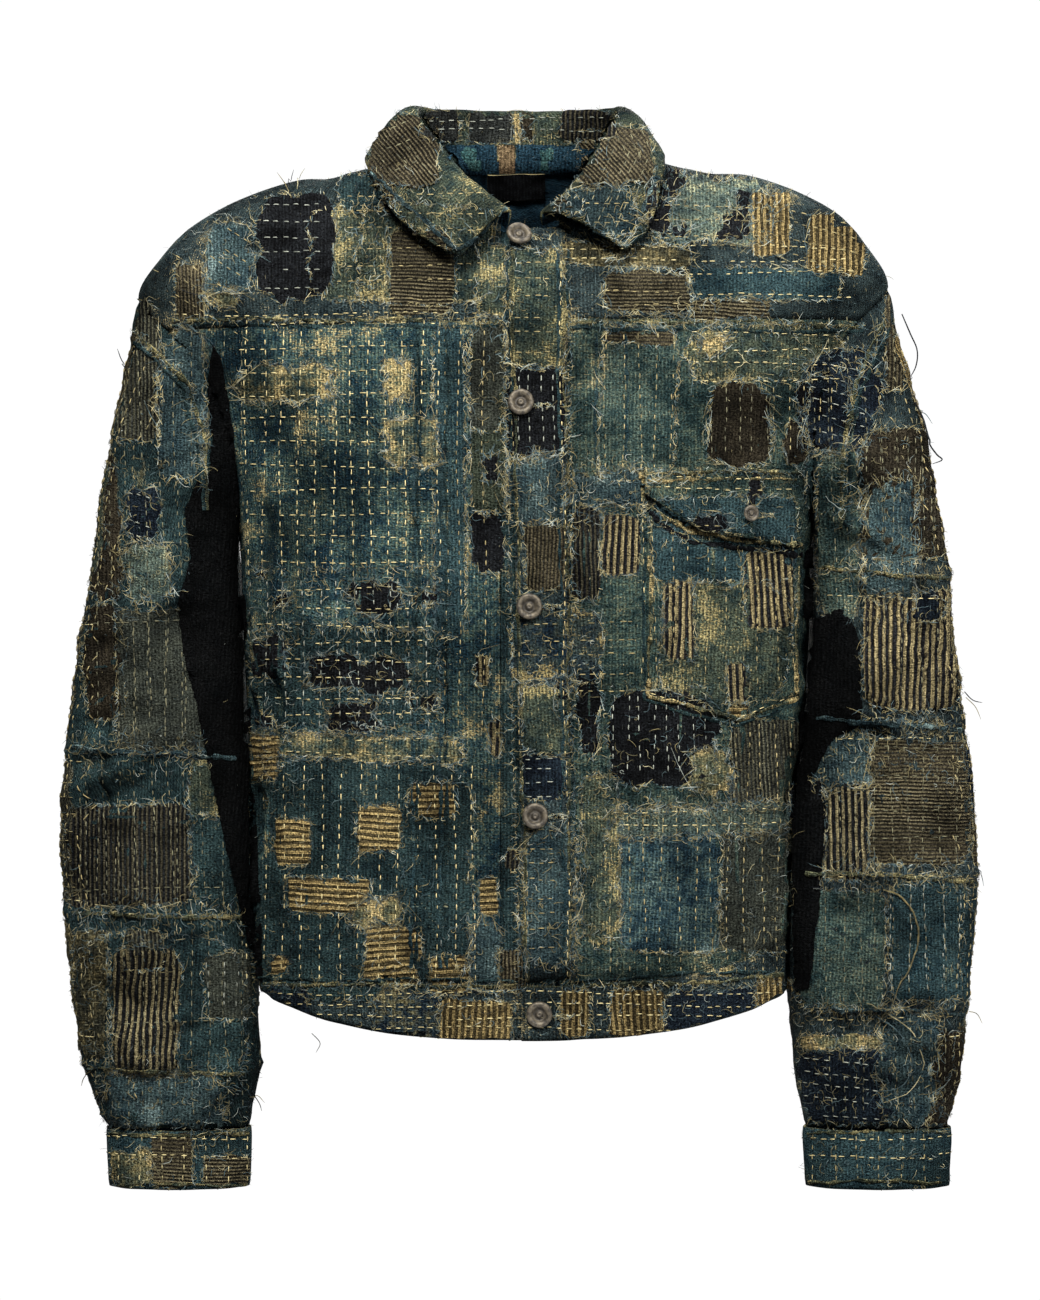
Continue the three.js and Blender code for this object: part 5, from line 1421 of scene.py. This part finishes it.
def stitch_line(bag, chart, a, b, thread, seed, onto, pitch=7.2, length=4.8, width=0.72):
    """Running stitches from a to b: short thread humps with their ends sunk in the cloth."""
    dice = np.random.default_rng(SEED + 6000 + seed)
    a, b = np.asarray(a, float), np.asarray(b, float)
    total = float(np.linalg.norm(b - a))
    count = int(total / pitch)
    if count < 1:
        return
    way = (b - a) / total
    side = np.array([way[1], -way[0]])
    start = (np.arange(count) + dice.uniform(-0.12, 0.12, count)) * pitch
    sway = 1.5 * np.sin(start / 37 + dice.uniform(0, 6.3)) + dice.normal(0, 0.3, count)
    span = length * dice.uniform(0.75, 1.15, count)
    marks = [a + way * (start + span * s)[:, None] + side * sway[:, None] for s in (0, 0.5, 1)]
    thrown = [throw(chart, mark, onto) for mark in marks]
    ok = thrown[0][2] & thrown[1][2] & thrown[2][2]
    ends = np.linalg.norm(thrown[2][0] - thrown[0][0], axis=1)
    ok &= (ends < span * 2.2) & (dice.uniform(size=count) > 0.05) & ~in_wedges(chart, marks[1])
    if not ok.any():
        return
    p0, p1, p2 = (t[0][ok] for t in thrown)
    normal = thrown[1][1][ok]
    along = unit(p2 - p0)
    cross = unit(np.cross(along, normal)) * width / 2
    ring = []
    for share in (0.25, 0.75):
        middle = p0 + (p2 - p0) * share + (p1 - (p0 + p2) / 2) * 0.75
        ring += [middle - cross + normal * 0.15, middle + normal * 0.72, middle + cross + normal * 0.15]
    verts = np.stack([p0 - normal * 0.2] + ring + [p2 - normal * 0.2], axis=1).reshape(-1, 3)
    first = np.arange(len(p0))[:, None] * 8
    shape = [(0, 2, 1), (0, 3, 2), (1, 2, 5), (1, 5, 4), (2, 3, 6), (2, 6, 5), (7, 4, 5), (7, 5, 6)]
    faces = (first[:, :, None] + np.array(shape)[None]).reshape(-1, 3)
    stitch = THREAD_ORDER.index(f"stitch_{thread}")
    bag.put(verts, faces, np.zeros((len(verts), 2)), np.zeros(len(verts)), stitch)


def stitch_family(bag, chart, family, seed, onto):
    ax, az, bx, bz, step_x, step_z, count, thread = family
    for k in range(count):
        shift = np.array([step_x, step_z]) * k
        stitch_line(bag, chart, (ax, az) + shift, (bx, bz) + shift, thread, seed * 40 + k, onto)


detail_bags = {}


def detail_bag(kind, region):
    return detail_bags.setdefault((kind, region), Bag())


def fray_shades(fabric):
    if fabric_of(fabric) in ("black", "navy", "indigo_deep"):
        return (0.10, 0.26, 0.08, 0.42, 0.14)
    return (0.14, 0.36, 0.08, 0.34, 0.08)


order = 0
layouts = [("front", region, rows) for region, rows in FRONT_PATCHES.items()]
layouts.append(("back", "back", BACK_PATCHES))
layouts += [(side, side, rows) for side, rows in SIDE_PATCHES.items()]
for chart, region, rows in layouts:
    for fabric, x0, x1, z0, z1, rough in rows:
        order += 1
        patch = lay_patch(detail_bag("patches", region), chart, fabric, (x0, x1, z0, z1), order, rough)
        if patch is None:
            continue
        outline, rise = patch
        hidden = 1.0 if chart == "front" else 1.35
        worn_edge = fabric.startswith(("hole", "fray")) or rough > 2.3
        fray_edge(detail_bag("frays", region), chart, outline, order, 3.8 if worn_edge else 2.4,
                  (0.95 if worn_edge else 1.3) * hidden, fray_shades(fabric), rise)
# cloth that shows on the inner face of the stand, above the label
LININGS = [
    ("inside_blue", [(-61, 13), (-17, 14), (-17, -7), (-42, -7)]),
    ("inside_tan", [(-16.5, 14), (-4, 14), (-3.5, -7), (-15, -7)]),
    ("inside_blue", [(-3, 14), (56, 13), (42, -7), (-3, -7)]),
    ("inside_teal", [(-50, 12), (-30, 12), (-27, -5), (-38, -6)]),
    ("inside_teal", [(14, 12), (26, 13), (24, -6), (12, -6)]),
]
for fabric, corners in LININGS:
    order += 1
    lay_patch(detail_bag("patches", "collar"), "front", fabric, None, order, corners=corners)
# near-black cloth on the inner side of each sleeve, for the deep shade between it and the body
WEDGES = [
    ("sleeve_right", [(-221, -130), (-214, -141), (-206, -192), (-201, -242), (-198, -285), (-195, -343),
                      (-191, -429), (-186, -530), (-184, -592), (-194, -573), (-204, -530), (-215, -480),
                      (-228, -415), (-243, -350), (-247, -314), (-238, -285), (-242, -249), (-233, -226),
                      (-226, -235), (-222, -199), (-225, -163)]),
    ("sleeve_left", [(209, -330), (234, -318), (246, -345), (246, -404), (226, -414), (212, -440),
    (205, -480),
                     (199, -462), (200, -400)]),
    ("sleeve_left", [(197, -458), (222, -458), (219, -500), (214, -550), (209, -594), (199, -594),
    (198, -530)]),
    ("sleeve_left", [(205, -250), (212, -244), (214, -300), (210, -328), (203, -328)]),
]
for region, corners in WEDGES:
    order += 1
    lay_patch(detail_bag("patches", region), "front", "shade_black", None, order, corners=corners, above=1.6)
# buttonholes: middle of each button; each hole is a near-black slit of painted shade beside it
for x, z in ((-1, -53), (0, -174), (6.5, -319), (11, -470), (14, -614), (159, -253)):
    order += 1
    hole = [(x + 9, z), (x + 12, z + 1.7), (x + 20, z + 1.4),
            (x + 23, z), (x + 20, z - 1.5), (x + 12, z - 1.7)]
    lay_patch(detail_bag("patches", "placket"), "front", "shade_black", None, order, corners=hole, above=0.6)
    fray_edge(detail_bag("frays", "placket"), "front", np.array(hole, float), order, 1.8, 0.7)


# x from, x to, z from, z to, how many curled threads, on the front chart
CURLS = [
    (-270, -190, -70, -20, 70), (-130, -100, -100, -20, 60), (-110, -40, -60, -10, 16),
    (-30, 34, -110, -40, 40),
    (30, 96, -55, 10, 24), (96, 190, -60, -10, 110), (60, 200, -125, -100, 70), (120, 236, -160, -116, 70),
    (40, 100, -262, -212, 90), (88, 204, -285, -225, 70), (-40, -8, -260, -100, 40), (-8, 34, -260, -205, 70),
    (-4, 60, -375, -300, 60), (40, 150, -460, -370, 90), (60, 200, -490, -455, 80), (36, 72, -590, -440, 80),
    (140, 200, -590, -470, 70), (-198, -50, -325, -290, 90), (-198, -50, -410, -336, 160),
    (-196, -150, -450, -410, 50),
    (-190, -60, -560, -460, 70), (-130, -30, -610, -545, 80), (2, 44, -590, -470, 90),
    (-190, 194, -634, -588, 130),
    (-320, -250, -330, -190, 90), (-290, -215, -320, -260, 70), (-320, -210, -440, -408, 90),
    (-320, -200, -556, -526, 90),
    (-320, -290, -650, -556, 50), (-310, -195, -696, -640, 110), (230, 330, -330, -190, 130),
    (240, 330, -412, -392, 90),
    (205, 330, -460, -406, 90), (205, 330, -524, -500, 110), (200, 330, -620, -600, 90),
    (200, 330, -696, -610, 170),
    (-300, -190, -742, -700, 50), (205, 306, -742, -700, 40), (-110, -40, -60, 20, 20),
    (40, 104, -60, 20, 30),
]
BACK_CURLS = [
    (-250, 250, -130, -20, 160), (-190, 190, -260, -140, 150), (-190, 190, -440, -260, 170),
    (-190, 190, -590, -440, 150),
    (-190, 190, -632, -588, 90), (-325, -205, -696, -130, 260), (205, 330, -696, -130, 260),
    (-90, 90, 0, 44, 60),
]
# frayed seams: x, z to x, z, length of the threads, on the front chart
FRAY_LINES = [
    (-322, -418, -210, -424, 5), (-324, -538, -196, -541, 6), (-316, -650, -196, -655, 5),
    (-305, -694, -192, -696, 3),
    (216, -290, 326, -298, 5), (212, -398, 332, -404, 7), (204, -508, 332, -514, 8),
    (202, -606, 330, -612, 6),
    (206, -694, 306, -696, 3), (66, -464, 198, -462, 7), (-198, -292, -58, -290, 3),
    (-200, -334, -56, -336, 4),
    (-198, -410, -40, -412, 3), (86, -222, 204, -222, 3), (86, -250, 120, -272, 5),
    (-190, -590, 194, -590, 3),
    (-188, -632, -20, -636, 4), (36, -636, 190, -624, 4), (-252, -112, -12, -114, 3),
    (34, -114, 250, -116, 3),
    (-108, -12, -62, -64, 4), (-62, -64, -44, -58, 3), (74, -56, 104, -22, 5), (34, -36, 74, -58, 5),
    (36, -120, 40, -586, 4), (-12, -120, 0, -586, 3), (-296, -740, -192, -740, 3), (206, -740, 306, -740, 2),
    (-278, -120, -236, -160, 6), (-236, -160, -226, -236, 6), (262, -112, 240, -160, 7),
    (240, -160, 232, -262, 7),
]


def in_wedges(chart, points):
    """Which chart points lie on the near-black wedges of painted shade on the inner sleeves."""
    inside = np.zeros(len(points), bool)
    if chart == "front":
        for _, corners in WEDGES:
            inside |= inside_outline(points, np.array(corners, float))
    return inside


def wandering(chart, starts, headings, steps, stride, bend, dice, onto):
    """Threads that wander over the cloth from chart points: the paths and normals of those that land."""
    marks, heading = [starts], headings.copy()
    turning = dice.normal(0, bend, len(starts))
    for _ in range(steps):
        turning = turning * 0.8 + dice.normal(0, bend * 0.6, len(starts))
        heading = heading + turning
        marks.append(marks[-1] + stride[:, None] * np.stack([np.cos(heading), np.sin(heading)], -1))
    thrown = [throw(chart, mark, onto) for mark in marks]
    ok = np.all([t[2] for t in thrown], axis=0)
    paths = np.stack([t[0] for t in thrown], axis=1)
    ok &= np.linalg.norm(np.diff(paths, axis=1), axis=-1).max(axis=1) < 9
    ok &= ~in_wedges(chart, starts)
    return paths[ok], thrown[0][1][ok]


def add_curls(bag, chart, zones, seed, onto, steps=7):
    dice = np.random.default_rng(SEED + 9000 + seed)
    for x0, x1, z0, z1, count in zones:
        count = int(count * 1.5)
        starts = np.stack([dice.uniform(x0, x1, count), dice.uniform(z0, z1, count)], -1)
        stride = dice.uniform(0.6, 1.5, count)
        headings = dice.uniform(0, 6.3, count)
        paths, normals = wandering(chart, starts, headings, steps, stride, 0.42, dice, onto)
        if not len(paths):
            continue
        arch = np.sin(np.linspace(0, math.pi, steps + 1))
        lifts = 0.5 + arch[None] * dice.uniform(0.1, 1.5, len(paths))[:, None]
        paths = paths + normals[:, None] * lifts[..., None]
        shade = dice.choice(5, len(paths), p=(0.08, 0.36, 0.1, 0.36, 0.1))
        ribbons(bag, paths, normals, dice.uniform(0.24, 0.4, len(paths)), shade)


def add_fray_line(bag, chart, line, seed, onto):
    ax, az, bx, bz, length = line
    dice = np.random.default_rng(SEED + 12000 + seed)
    total = math.hypot(bx - ax, bz - az)
    count = int(total / 0.75)
    share = dice.uniform(0, 1, count)
    starts = np.stack([ax + (bx - ax) * share, az + (bz - az) * share], -1) + dice.normal(0, 0.8, (count, 2))
    across = math.atan2(bz - az, bx - ax) + math.pi / 2 * dice.choice([-1, 1], count, p=(0.68, 0.32))
    stride = length * dice.gamma(2.2, 0.16, count) * 0.7
    headings = across + dice.normal(0, 0.75, count)
    paths, normals = wandering(chart, starts, headings, 4, stride, 0.36, dice, onto)
    if len(paths):
        lifts = np.linspace(0.7, 1, 5)[None] * dice.uniform(0.7, 2.4, len(paths))[:, None]
        paths = paths + normals[:, None] * lifts[..., None]
        shade = dice.choice(5, len(paths), p=(0.07, 0.38, 0.07, 0.38, 0.1))
        ribbons(bag, paths, normals, dice.uniform(0.26, 0.42, len(paths)), shade)


def add_fuzz(bag, shell, count, seed):
    """Short loose fibres that stand off the cloth and break up its outline."""
    dice = np.random.default_rng(SEED + 15000 + seed)
    points = shell.outer.reshape(-1, 3)
    normals = shell.normals.reshape(-1, 3)
    pick = dice.integers(0, len(points), count)
    start, normal = points[pick], normals[pick]
    lean = unit(dice.normal(0, 1, (count, 3)))
    reach = dice.gamma(2.0, 0.75, count)[:, None]
    path = [start]
    for share in (0.35, 0.7, 1.0):
        path.append(start + (normal * (share * 0.75) + lean * (share ** 1.5 * 0.9)) * reach)
    facing = unit(np.cross(unit(path[-1] - start), unit(dice.normal(0, 1, (count, 3)))))
    ribbons(bag, np.stack(path, axis=1), facing, dice.uniform(0.25, 0.45, count),
            dice.choice(5, count, p=(0.1, 0.3, 0.08, 0.36, 0.16)))


# rolled edges and seam ridges: cloth, radius, then the points of the line on the front chart. The indigo_deep
# lines a few millimetres beside edges, seams and pleat folds are painted shade of the grooves there, and the
# black line along the pocket flap's lower edge is painted shadow under the flap.
CORDS = [
    ("fray_blue", 1.5, (-109, -4), (-78, -34), (-45, -62), (-24, -46), (-9, -31)),
    ("fray_blue", 1.5, (98, -10), (88, -34), (76, -56), (46, -46), (17, -37)),
    ("edge", 1.2, (-6, -60), (-3, -200), (1, -400), (5, -590)),
    # the indigo_deep lines here and below, each beside an edge or seam, are painted shade of the groove
    ("indigo_deep", 1.0, (-9, -60), (-6, -200), (-2, -400), (2, -590)),
    ("edge", 1.0, (31, -58), (33, -200), (35, -400), (36, -590)),
    ("indigo_deep", 1.1, (34, -62), (36, -200), (38, -400), (39, -590)),
    ("teal_plain", 1.0, (27, -62), (29, -300), (32, -590)),
    ("edge", 1.3, (-250, -112), (-140, -112), (-14, -114)), ("indigo_deep", 1.3, (-250, -116), (-14, -117)),
    ("edge", 1.3, (36, -114), (150, -113), (248, -117)), ("indigo_deep", 1.3, (36, -118), (248, -121)),
    ("tan_worn", 1.5, (94, -282), (93, -383), (157, -400), (199, -384), (200, -290)),
    ("indigo_deep", 1.2, (90, -262), (89, -386), (157, -405), (203, -388), (204, -290)),
    ("tan_worn", 1.8, (88, -222), (89, -240), (104, -256), (122, -264), (160, -270), (203, -275)),
    ("edge", 1.2, (88, -222), (203, -222)), ("tan_worn", 1.0, (92, -227), (200, -227)),
    # painted shadow under the pocket flap's lower edge
    ("black", 1.8, (92, -249), (106, -263), (124, -271), (162, -277), (203, -282)),
    ("edge", 1.4, (-188, -590), (-60, -592), (0, -592)), ("edge", 1.4, (40, -592), (120, -590), (190, -584)),
    ("indigo_deep", 1.3, (-188, -587), (0, -588)), ("indigo_deep", 1.3, (40, -588), (190, -580)),
    ("fray_blue", 1.4, (-184, -622), (-130, -632), (0, -636)), ("edge", 1.4, (30, -636), (130, -632),
    (182, -618)),
    ("edge", 1.6, (-276, -122), (-240, -156), (-227, -200), (-224, -250)),
    ("indigo_deep", 1.6, (-280, -126), (-244, -160), (-231, -204), (-228, -250)),
    ("edge", 1.6, (262, -114), (242, -156), (234, -200), (231, -262)),
    ("indigo_deep", 1.6, (266, -118), (246, -160), (238, -204), (235, -262)),
    ("teal_plain", 1.3, (-55, -122), (-56, -300), (-58, -580)), ("indigo_deep", 1.3, (-52, -122),
    (-53, -580)),
    ("teal_plain", 1.3, (-75, -122), (-76, -300), (-78, -580)), ("indigo_deep", 1.3, (-72, -122),
    (-74, -580)),
    ("teal_plain", 1.2, (54, -122), (55, -215)), ("teal_plain", 1.2, (76, -122), (77, -215)),
    ("fray_blue", 1.7, (-322, -420), (-260, -425), (-204, -428)), ("edge", 1.6, (-322, -540), (-200, -543)),
    ("edge", 1.4, (-314, -652), (-198, -656)), ("edge", 1.5, (218, -292), (326, -299)),
    ("fray_blue", 1.9, (214, -400), (270, -403), (330, -410)), ("edge", 1.7, (206, -510), (330, -516)),
    ("fray_blue", 1.6, (204, -607), (328, -613)), ("edge", 1.3, (-296, -699), (-194, -699)),
    ("edge", 1.3, (207, -697), (306, -697)), ("tan_worn", 1.2, (-292, -735), (-196, -735)),
    ("edge", 1.2, (208, -733), (304, -733)),
]


CORD_STEP = 1.7
CORD_SIDES = 5


def add_cord(bag, chart, cloth, radius, marks, seed, onto):
    """An uneven rolled edge that follows chart points along the cloth."""
    dice = np.random.default_rng(SEED + 18000 + seed)
    marks = np.asarray(marks, float)
    run = distances(marks)
    at = np.arange(0, run[-1], CORD_STEP)
    way = points_at(marks, run, at)
    waves = ((17, 0.8), (5.5, 0.5), (2.3, 0.3))
    wave = sum(np.sin(at / step + dice.uniform(0, 6.3)) * size for step, size in waves)
    ahead = unit(np.gradient(way, axis=0))
    way = way + np.stack([ahead[:, 1], -ahead[:, 0]], -1) * wave[:, None]
    places, normals, landed = throw(chart, way, onto)
    steps = np.linalg.norm(np.diff(places, axis=0), axis=1)
    joined = landed[:-1] & landed[1:] & (steps < 6)
    along = unit(np.gradient(places, axis=0))
    side = unit(np.cross(along, normals))
    uneven = np.convolve(dice.normal(0, 1, len(at)), np.ones(3) / 3, "same")
    thick = radius * np.clip(1 + 0.55 * uneven, 0.35, 1.9)
    angles = np.linspace(-0.5, math.pi + 0.5, CORD_SIDES)
    ring = [places + (side * math.cos(a) + normals * (math.sin(a) * 0.8)) * thick[:, None] for a in angles]
    verts = np.stack(ring, axis=1).reshape(-1, 3)
    first = np.flatnonzero(joined)[:, None] * CORD_SIDES + np.arange(CORD_SIDES - 1)[None]
    quads = np.stack([first, first + 1, first + CORD_SIDES + 1, first + CORD_SIDES], -1).reshape(-1, 4)
    faces = np.concatenate([quads[:, [0, 2, 1]], quads[:, [0, 3, 2]]])
    uv = np.stack([np.tile(np.arange(float(CORD_SIDES)), len(at)), np.repeat(at, CORD_SIDES)], -1)
    bag.put(verts, faces, uv, np.full(len(verts), 0.6), list(CLOTHS).index(cloth))


details = {}
for (kind, region), bag in detail_bags.items():
    materials = list(CLOTHS.values()) if kind == "patches" else list(THREADS.values())
    details[(kind, region)] = bag.build(f"{kind}_{region}", materials)

patched = garment_tree(list(base.values()) + [o for (kind, _), o in details.items() if kind == "patches"])
bag = Bag()
for number, (cloth, radius, *marks) in enumerate(CORDS):
    add_cord(bag, "front", cloth, radius, marks, number, patched)
    if marks[0][0] * marks[-1][0] > 0 and abs(marks[0][0]) > 200 or abs(marks[0][1] + 114) < 4:
        add_cord(bag, "back", cloth, radius, [(-x, z) for x, z in marks], number + 90, patched)
# one object for the rolled edges and ridges and for the lines of painted shade and shadow beside them
cords = bag.build("seam_ridges", list(CLOTHS.values()))
settle(cords)
for chart, rows in (("front", FRONT_STITCHES), ("back", BACK_STITCHES),
                    ("side_right", SIDE_STITCHES), ("side_left", SIDE_STITCHES)):
    bag = Bag()
    for number, family in enumerate(rows):
        stitch_family(bag, chart, family, number, patched)
    details[("stitches", chart)] = bag.build(f"stitches_{chart}", list(THREADS.values()))
# single loose threads that stand out: thread, width, then their points on the front chart
STRAYS = [
    ("dark", 1.1, (275, -108), (281, -122), (286, -134), (285, -146), (279, -157)),
    ("dark", 1.3, (283, -172), (289, -184), (294, -200), (300, -209), (304, -213), (297, -216)),
    ("blue", 0.7, (286, -178), (292, -180), (297, -187)), ("tan", 0.6, (321, -384), (328, -391), (332, -400)),
    ("dark", 0.8, (320, -380), (326, -386), (333, -388)), ("dark", 0.8, (-283, -147), (-287, -141),
    (-290, -133)),
    ("tan", 0.6, (-166, -21), (-170, -13), (-175, -6)), ("dark", 0.6, (-168, -20), (-165, -11), (-163, -4)),
    ("cream", 0.5, (-160, -19), (-159, -10), (-155, -3)), ("tan", 0.6, (-150, -626), (-144, -633),
    (-147, -640)),
    ("dark", 0.7, (-194, -668), (-188, -676), (-186, -682)), ("tan", 0.6, (-196, -672), (-189, -671),
    (-184, -676)),
    ("tan", 1.2, (262, -522), (274, -527), (284, -542), (286, -560), (281, -578), (272, -594), (266, -610)),
    ("cream", 0.8, (250, -604), (266, -612), (284, -628), (290, -650), (280, -668), (262, -676)),
    ("blue", 0.8, (256, -612), (272, -624), (282, -644), (276, -662), (258, -668)),
    ("tan", 0.7, (-312, -418), (-318, -424), (-326, -422)), ("tan", 0.7, (-308, -652), (-314, -658),
    (-316, -664)),
    ("blue", 0.6, (326, -506), (332, -512), (334, -520)), ("tan", 0.6, (322, -610), (329, -612), (333, -619)),
]
STRAY_DEPTH = -25


def add_stray(bag, thread, width, marks, onto):
    """A thread through chart points: on the cloth where it meets it, else hanging beside it."""
    marks = np.array(marks, float)
    keys = np.linspace(0, 1, len(marks))
    if len(marks) > 2:
        at = np.linspace(0, 1, 4 * len(marks))
        marks = np.stack([hermite(keys, marks[:, k], at) for k in (0, 1)], -1)
    places, normals, landed = throw("front", marks, onto)
    share = (STRAY_DEPTH - EYE[1]) / (CHART_Y - EYE[1])
    free = np.stack([marks[:, 0] * share, np.full(len(marks), float(STRAY_DEPTH)),
                     EYE[2] + (marks[:, 1] - EYE[2]) * share], -1)
    path = np.where(landed[:, None], places + normals * 1.6, free)
    path[:, 1] = np.convolve(np.pad(path[:, 1], 2, mode="edge"), np.ones(5) / 5, "valid")
    for facing in ((0.0, -1.0, 0.0), (1.0, 0.0, 0.0)):
        ribbons(bag, path[None], np.array([facing]), [width], np.array([THREAD_ORDER.index(thread)]))


bag = Bag()
for thread, width, *marks in STRAYS:
    add_stray(bag, thread, width, marks, patched)
details[("threads", "stray")] = bag.build("threads_stray", list(THREADS.values()))
for (kind, region), obj in details.items():
    settle(obj)

# ---------------------------------------------------------------- loose threads
for chart, zones in (("front", CURLS), ("back", BACK_CURLS)):
    bag = Bag()
    add_curls(bag, chart, zones, len(chart), patched)
    for number, line in enumerate(FRAY_LINES):
        mirror = 1 if chart == "front" else -1
        ax, az, bx, bz, length = line
        if chart == "back" and abs(ax) < 200 and az > -570:
            continue
        add_fray_line(bag, chart, (ax * mirror, az, bx * mirror, bz, length), number + 50 * mirror, patched)
    loose = bag.build(f"threads_{chart}", list(THREADS.values()))
    settle(loose)
bag = Bag()
for number, shell in enumerate(shells):
    area = shell.outer.shape[0] * shell.outer.shape[1]
    add_fuzz(bag, shell, int(area * 0.115), number)
fuzz = bag.build("fuzz_all_over", list(THREADS.values()))
settle(fuzz)

# ---------------------------------------------------------------- neck label and buttons
label = label_shell().build(CLOTHS["black"], CLOTHS["black"], THREADS["tan"])
set_wear(label, np.zeros(len(label.data.vertices)))
settle(label)
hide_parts("neck_label")

graph = Graph("pewter")
spot = graph.millimetres()
pits = graph.noise(spot, 1.3, 4, 0.7)
tarnish = graph.step(graph.noise(spot, 3.2, 3), 0.35, 0.65)
metal = graph.mix(tarnish, linear((38, 34, 29)), linear((84, 77, 65)))
# the metal turns near-black where the wear attribute is high, in the ring groove and at the middle of each
# button
well = graph.add("ShaderNodeAttribute", attribute_name="wear").outputs["Fac"]
metal = graph.mix(well, metal, linear((20, 17, 15)))
relief = graph.add("ShaderNodeBump", {"Height": pits, "Strength": 0.35, "Distance": 0.0003})
shine = graph.math("MULTIPLY_ADD", pits, 0.3, 0.4)
shader = graph.add("ShaderNodeBsdfPrincipled", {"Base Color": metal, "Metallic": 0.35, "Roughness": shine,
                                                "Normal": relief.outputs[0]})
PEWTER = graph.finish(shader)
BUTTON_PROFILE = [
    (0, 0.24), (0.1, 0.3), (0.2, 0.3), (0.25, 0.2), (0.3, 0.13), (0.44, 0.13), (0.5, 0.2), (0.58, 0.33),
    (0.7, 0.42), (0.82, 0.45), (0.93, 0.4), (0.99, 0.3), (1, 0.2), (0.95, 0.12), (0.6, 0.06), (0.3, 0.0),
]


def make_button(node):
    points = np.array([v.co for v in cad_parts[node].data.vertices]) * 1000
    middle = points.mean(axis=0)
    _, _, axes = np.linalg.svd(points - middle, full_matrices=False)
    normal = axes[2] * (-1 if axes[2][1] > 0 else 1)
    radius = np.abs((points - middle) @ axes[0]).max()
    foot = middle + normal * ((points - middle) @ normal).min()
    turns = np.linspace(0, 2 * math.pi, 48, endpoint=False)
    rings = []
    for k, (out_by, up_by) in enumerate(BUTTON_PROFILE):
        knurl = 0.012 * np.sin(turns * 16) * (8 <= k <= 10)
        spoke = np.outer(np.cos(turns), axes[0]) + np.outer(np.sin(turns), axes[1])
        rings.append(foot + spoke * (out_by * radius) + normal * ((up_by + knurl) * radius)[:, None])
    rings = np.array(rings)
    count = len(turns)
    grid = np.arange(rings.shape[0] * count).reshape(-1, count)
    grid = np.concatenate([grid, grid[:, :1]], axis=1)
    quads = grid_quads(grid)
    obj = mesh_object(f"{node}_worn", rings.reshape(-1, 3), quads, None, [PEWTER])
    out_share = np.array([out_by for out_by, _ in BUTTON_PROFILE])
    # high in the ring groove and at the middle, where the metal is made near-black
    deep = np.exp(-(((out_share - 0.36) / 0.1) ** 2)) + (out_share < 0.1)
    set_wear(obj, np.repeat(np.clip(deep, 0, 1), count))
    settle(obj)
    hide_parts(node)


for number in (1, 2, 3, 4, 5):
    make_button(f"button_{number}")
make_button("button_flap")

# ---------------------------------------------------------------- camera, light and backdrop
camera_data = bpy.data.cameras.new("camera")
camera_data.sensor_width = 36
camera_data.sensor_fit = "HORIZONTAL"
camera_data.lens = 36 * (CHART_Y - EYE[1]) / FIELD_WIDTH
camera_data.clip_end = 50
camera = bpy.data.objects.new("camera", camera_data)
camera.location = EYE / 1000
camera.rotation_euler = (math.radians(90), 0, 0)
bpy.context.scene.collection.objects.link(camera)
bpy.context.scene.camera = camera


def soft_light(name, place, aim, size, watts, colour=(1, 1, 1)):
    data = bpy.data.lights.new(name, "AREA")
    data.shape = "RECTANGLE"
    data.size, data.size_y = size
    data.energy = watts
    data.color = colour
    lamp = bpy.data.objects.new(name, data)
    lamp.location = place
    lamp.rotation_euler = (Vector(aim) - Vector(place)).to_track_quat("-Z", "Y").to_euler()
    bpy.context.scene.collection.objects.link(lamp)


soft_light("key", (-0.35, -1.9, 1.6), (0, 0, -0.35), (0.8, 0.8), 170, (1, 0.965, 0.89))
soft_light("fill", (1.8, -1.9, 0.7), (0, 0, -0.35), (0.9, 1.2), 88, (1, 0.98, 0.93))
soft_light("top", (0.1, 0.3, 1.9), (0, 0, -0.3), (1.4, 1.4), 46)
soft_light("back_fill", (0.3, 2.4, 0.9), (0, 0, -0.35), (1.6, 1.4), 150, (1, 0.975, 0.92))

world = bpy.data.worlds.new("studio")
world.use_nodes = True
world.node_tree.nodes["Background"].inputs[0].default_value = (1, 1, 1, 1)
world.node_tree.nodes["Background"].inputs[1].default_value = 0.135
bpy.context.scene.world = world

floor_graph = Graph("pale_floor")
floor_spot = floor_graph.add("ShaderNodeTexCoord").outputs["Object"]
floor_tone = floor_graph.mix(floor_graph.noise(floor_spot, 0.4, 2), (0.86, 0.86, 0.86, 1), (0.9, 0.9, 0.9, 1))
floor_shader = floor_graph.add("ShaderNodeBsdfPrincipled", {
    "Base Color": floor_tone, "Roughness": 0.9, "Emission Color": (1, 1, 1, 1), "Emission Strength": 0.62,
})
floor_graph.finish(floor_shader)
DOME_RADIUS = 6.5
FLOOR_HALF, FLOOR_DEPTH = 7000, -1950
dome_graph = Graph("white_backdrop")
glow = dome_graph.add("ShaderNodeEmission", {"Color": (1, 1, 1, 1), "Strength": 1.02})
dome_graph.finish(glow)
corners = [(x * FLOOR_HALF, y * FLOOR_HALF, FLOOR_DEPTH) for x, y in ((-1, -1), (1, -1), (1, 1), (-1, 1))]
floor = mesh_object("floor", corners, [(0, 1, 2, 3)], None, [floor_graph.material])
dome_mesh = bpy.data.meshes.new("dome")
dome_bm = bmesh.new()
bmesh.ops.create_uvsphere(dome_bm, u_segments=48, v_segments=24, radius=DOME_RADIUS)
dome_bm.to_mesh(dome_mesh)
dome_bm.free()
dome_mesh.materials.append(dome_graph.material)
dome = bpy.data.objects.new("dome", dome_mesh)
bpy.context.scene.collection.objects.link(dome)
dome.visible_diffuse = False
dome.visible_glossy = False
dome.visible_shadow = False
floor.visible_diffuse = False
bpy.context.scene.view_settings.view_transform = "Standard"
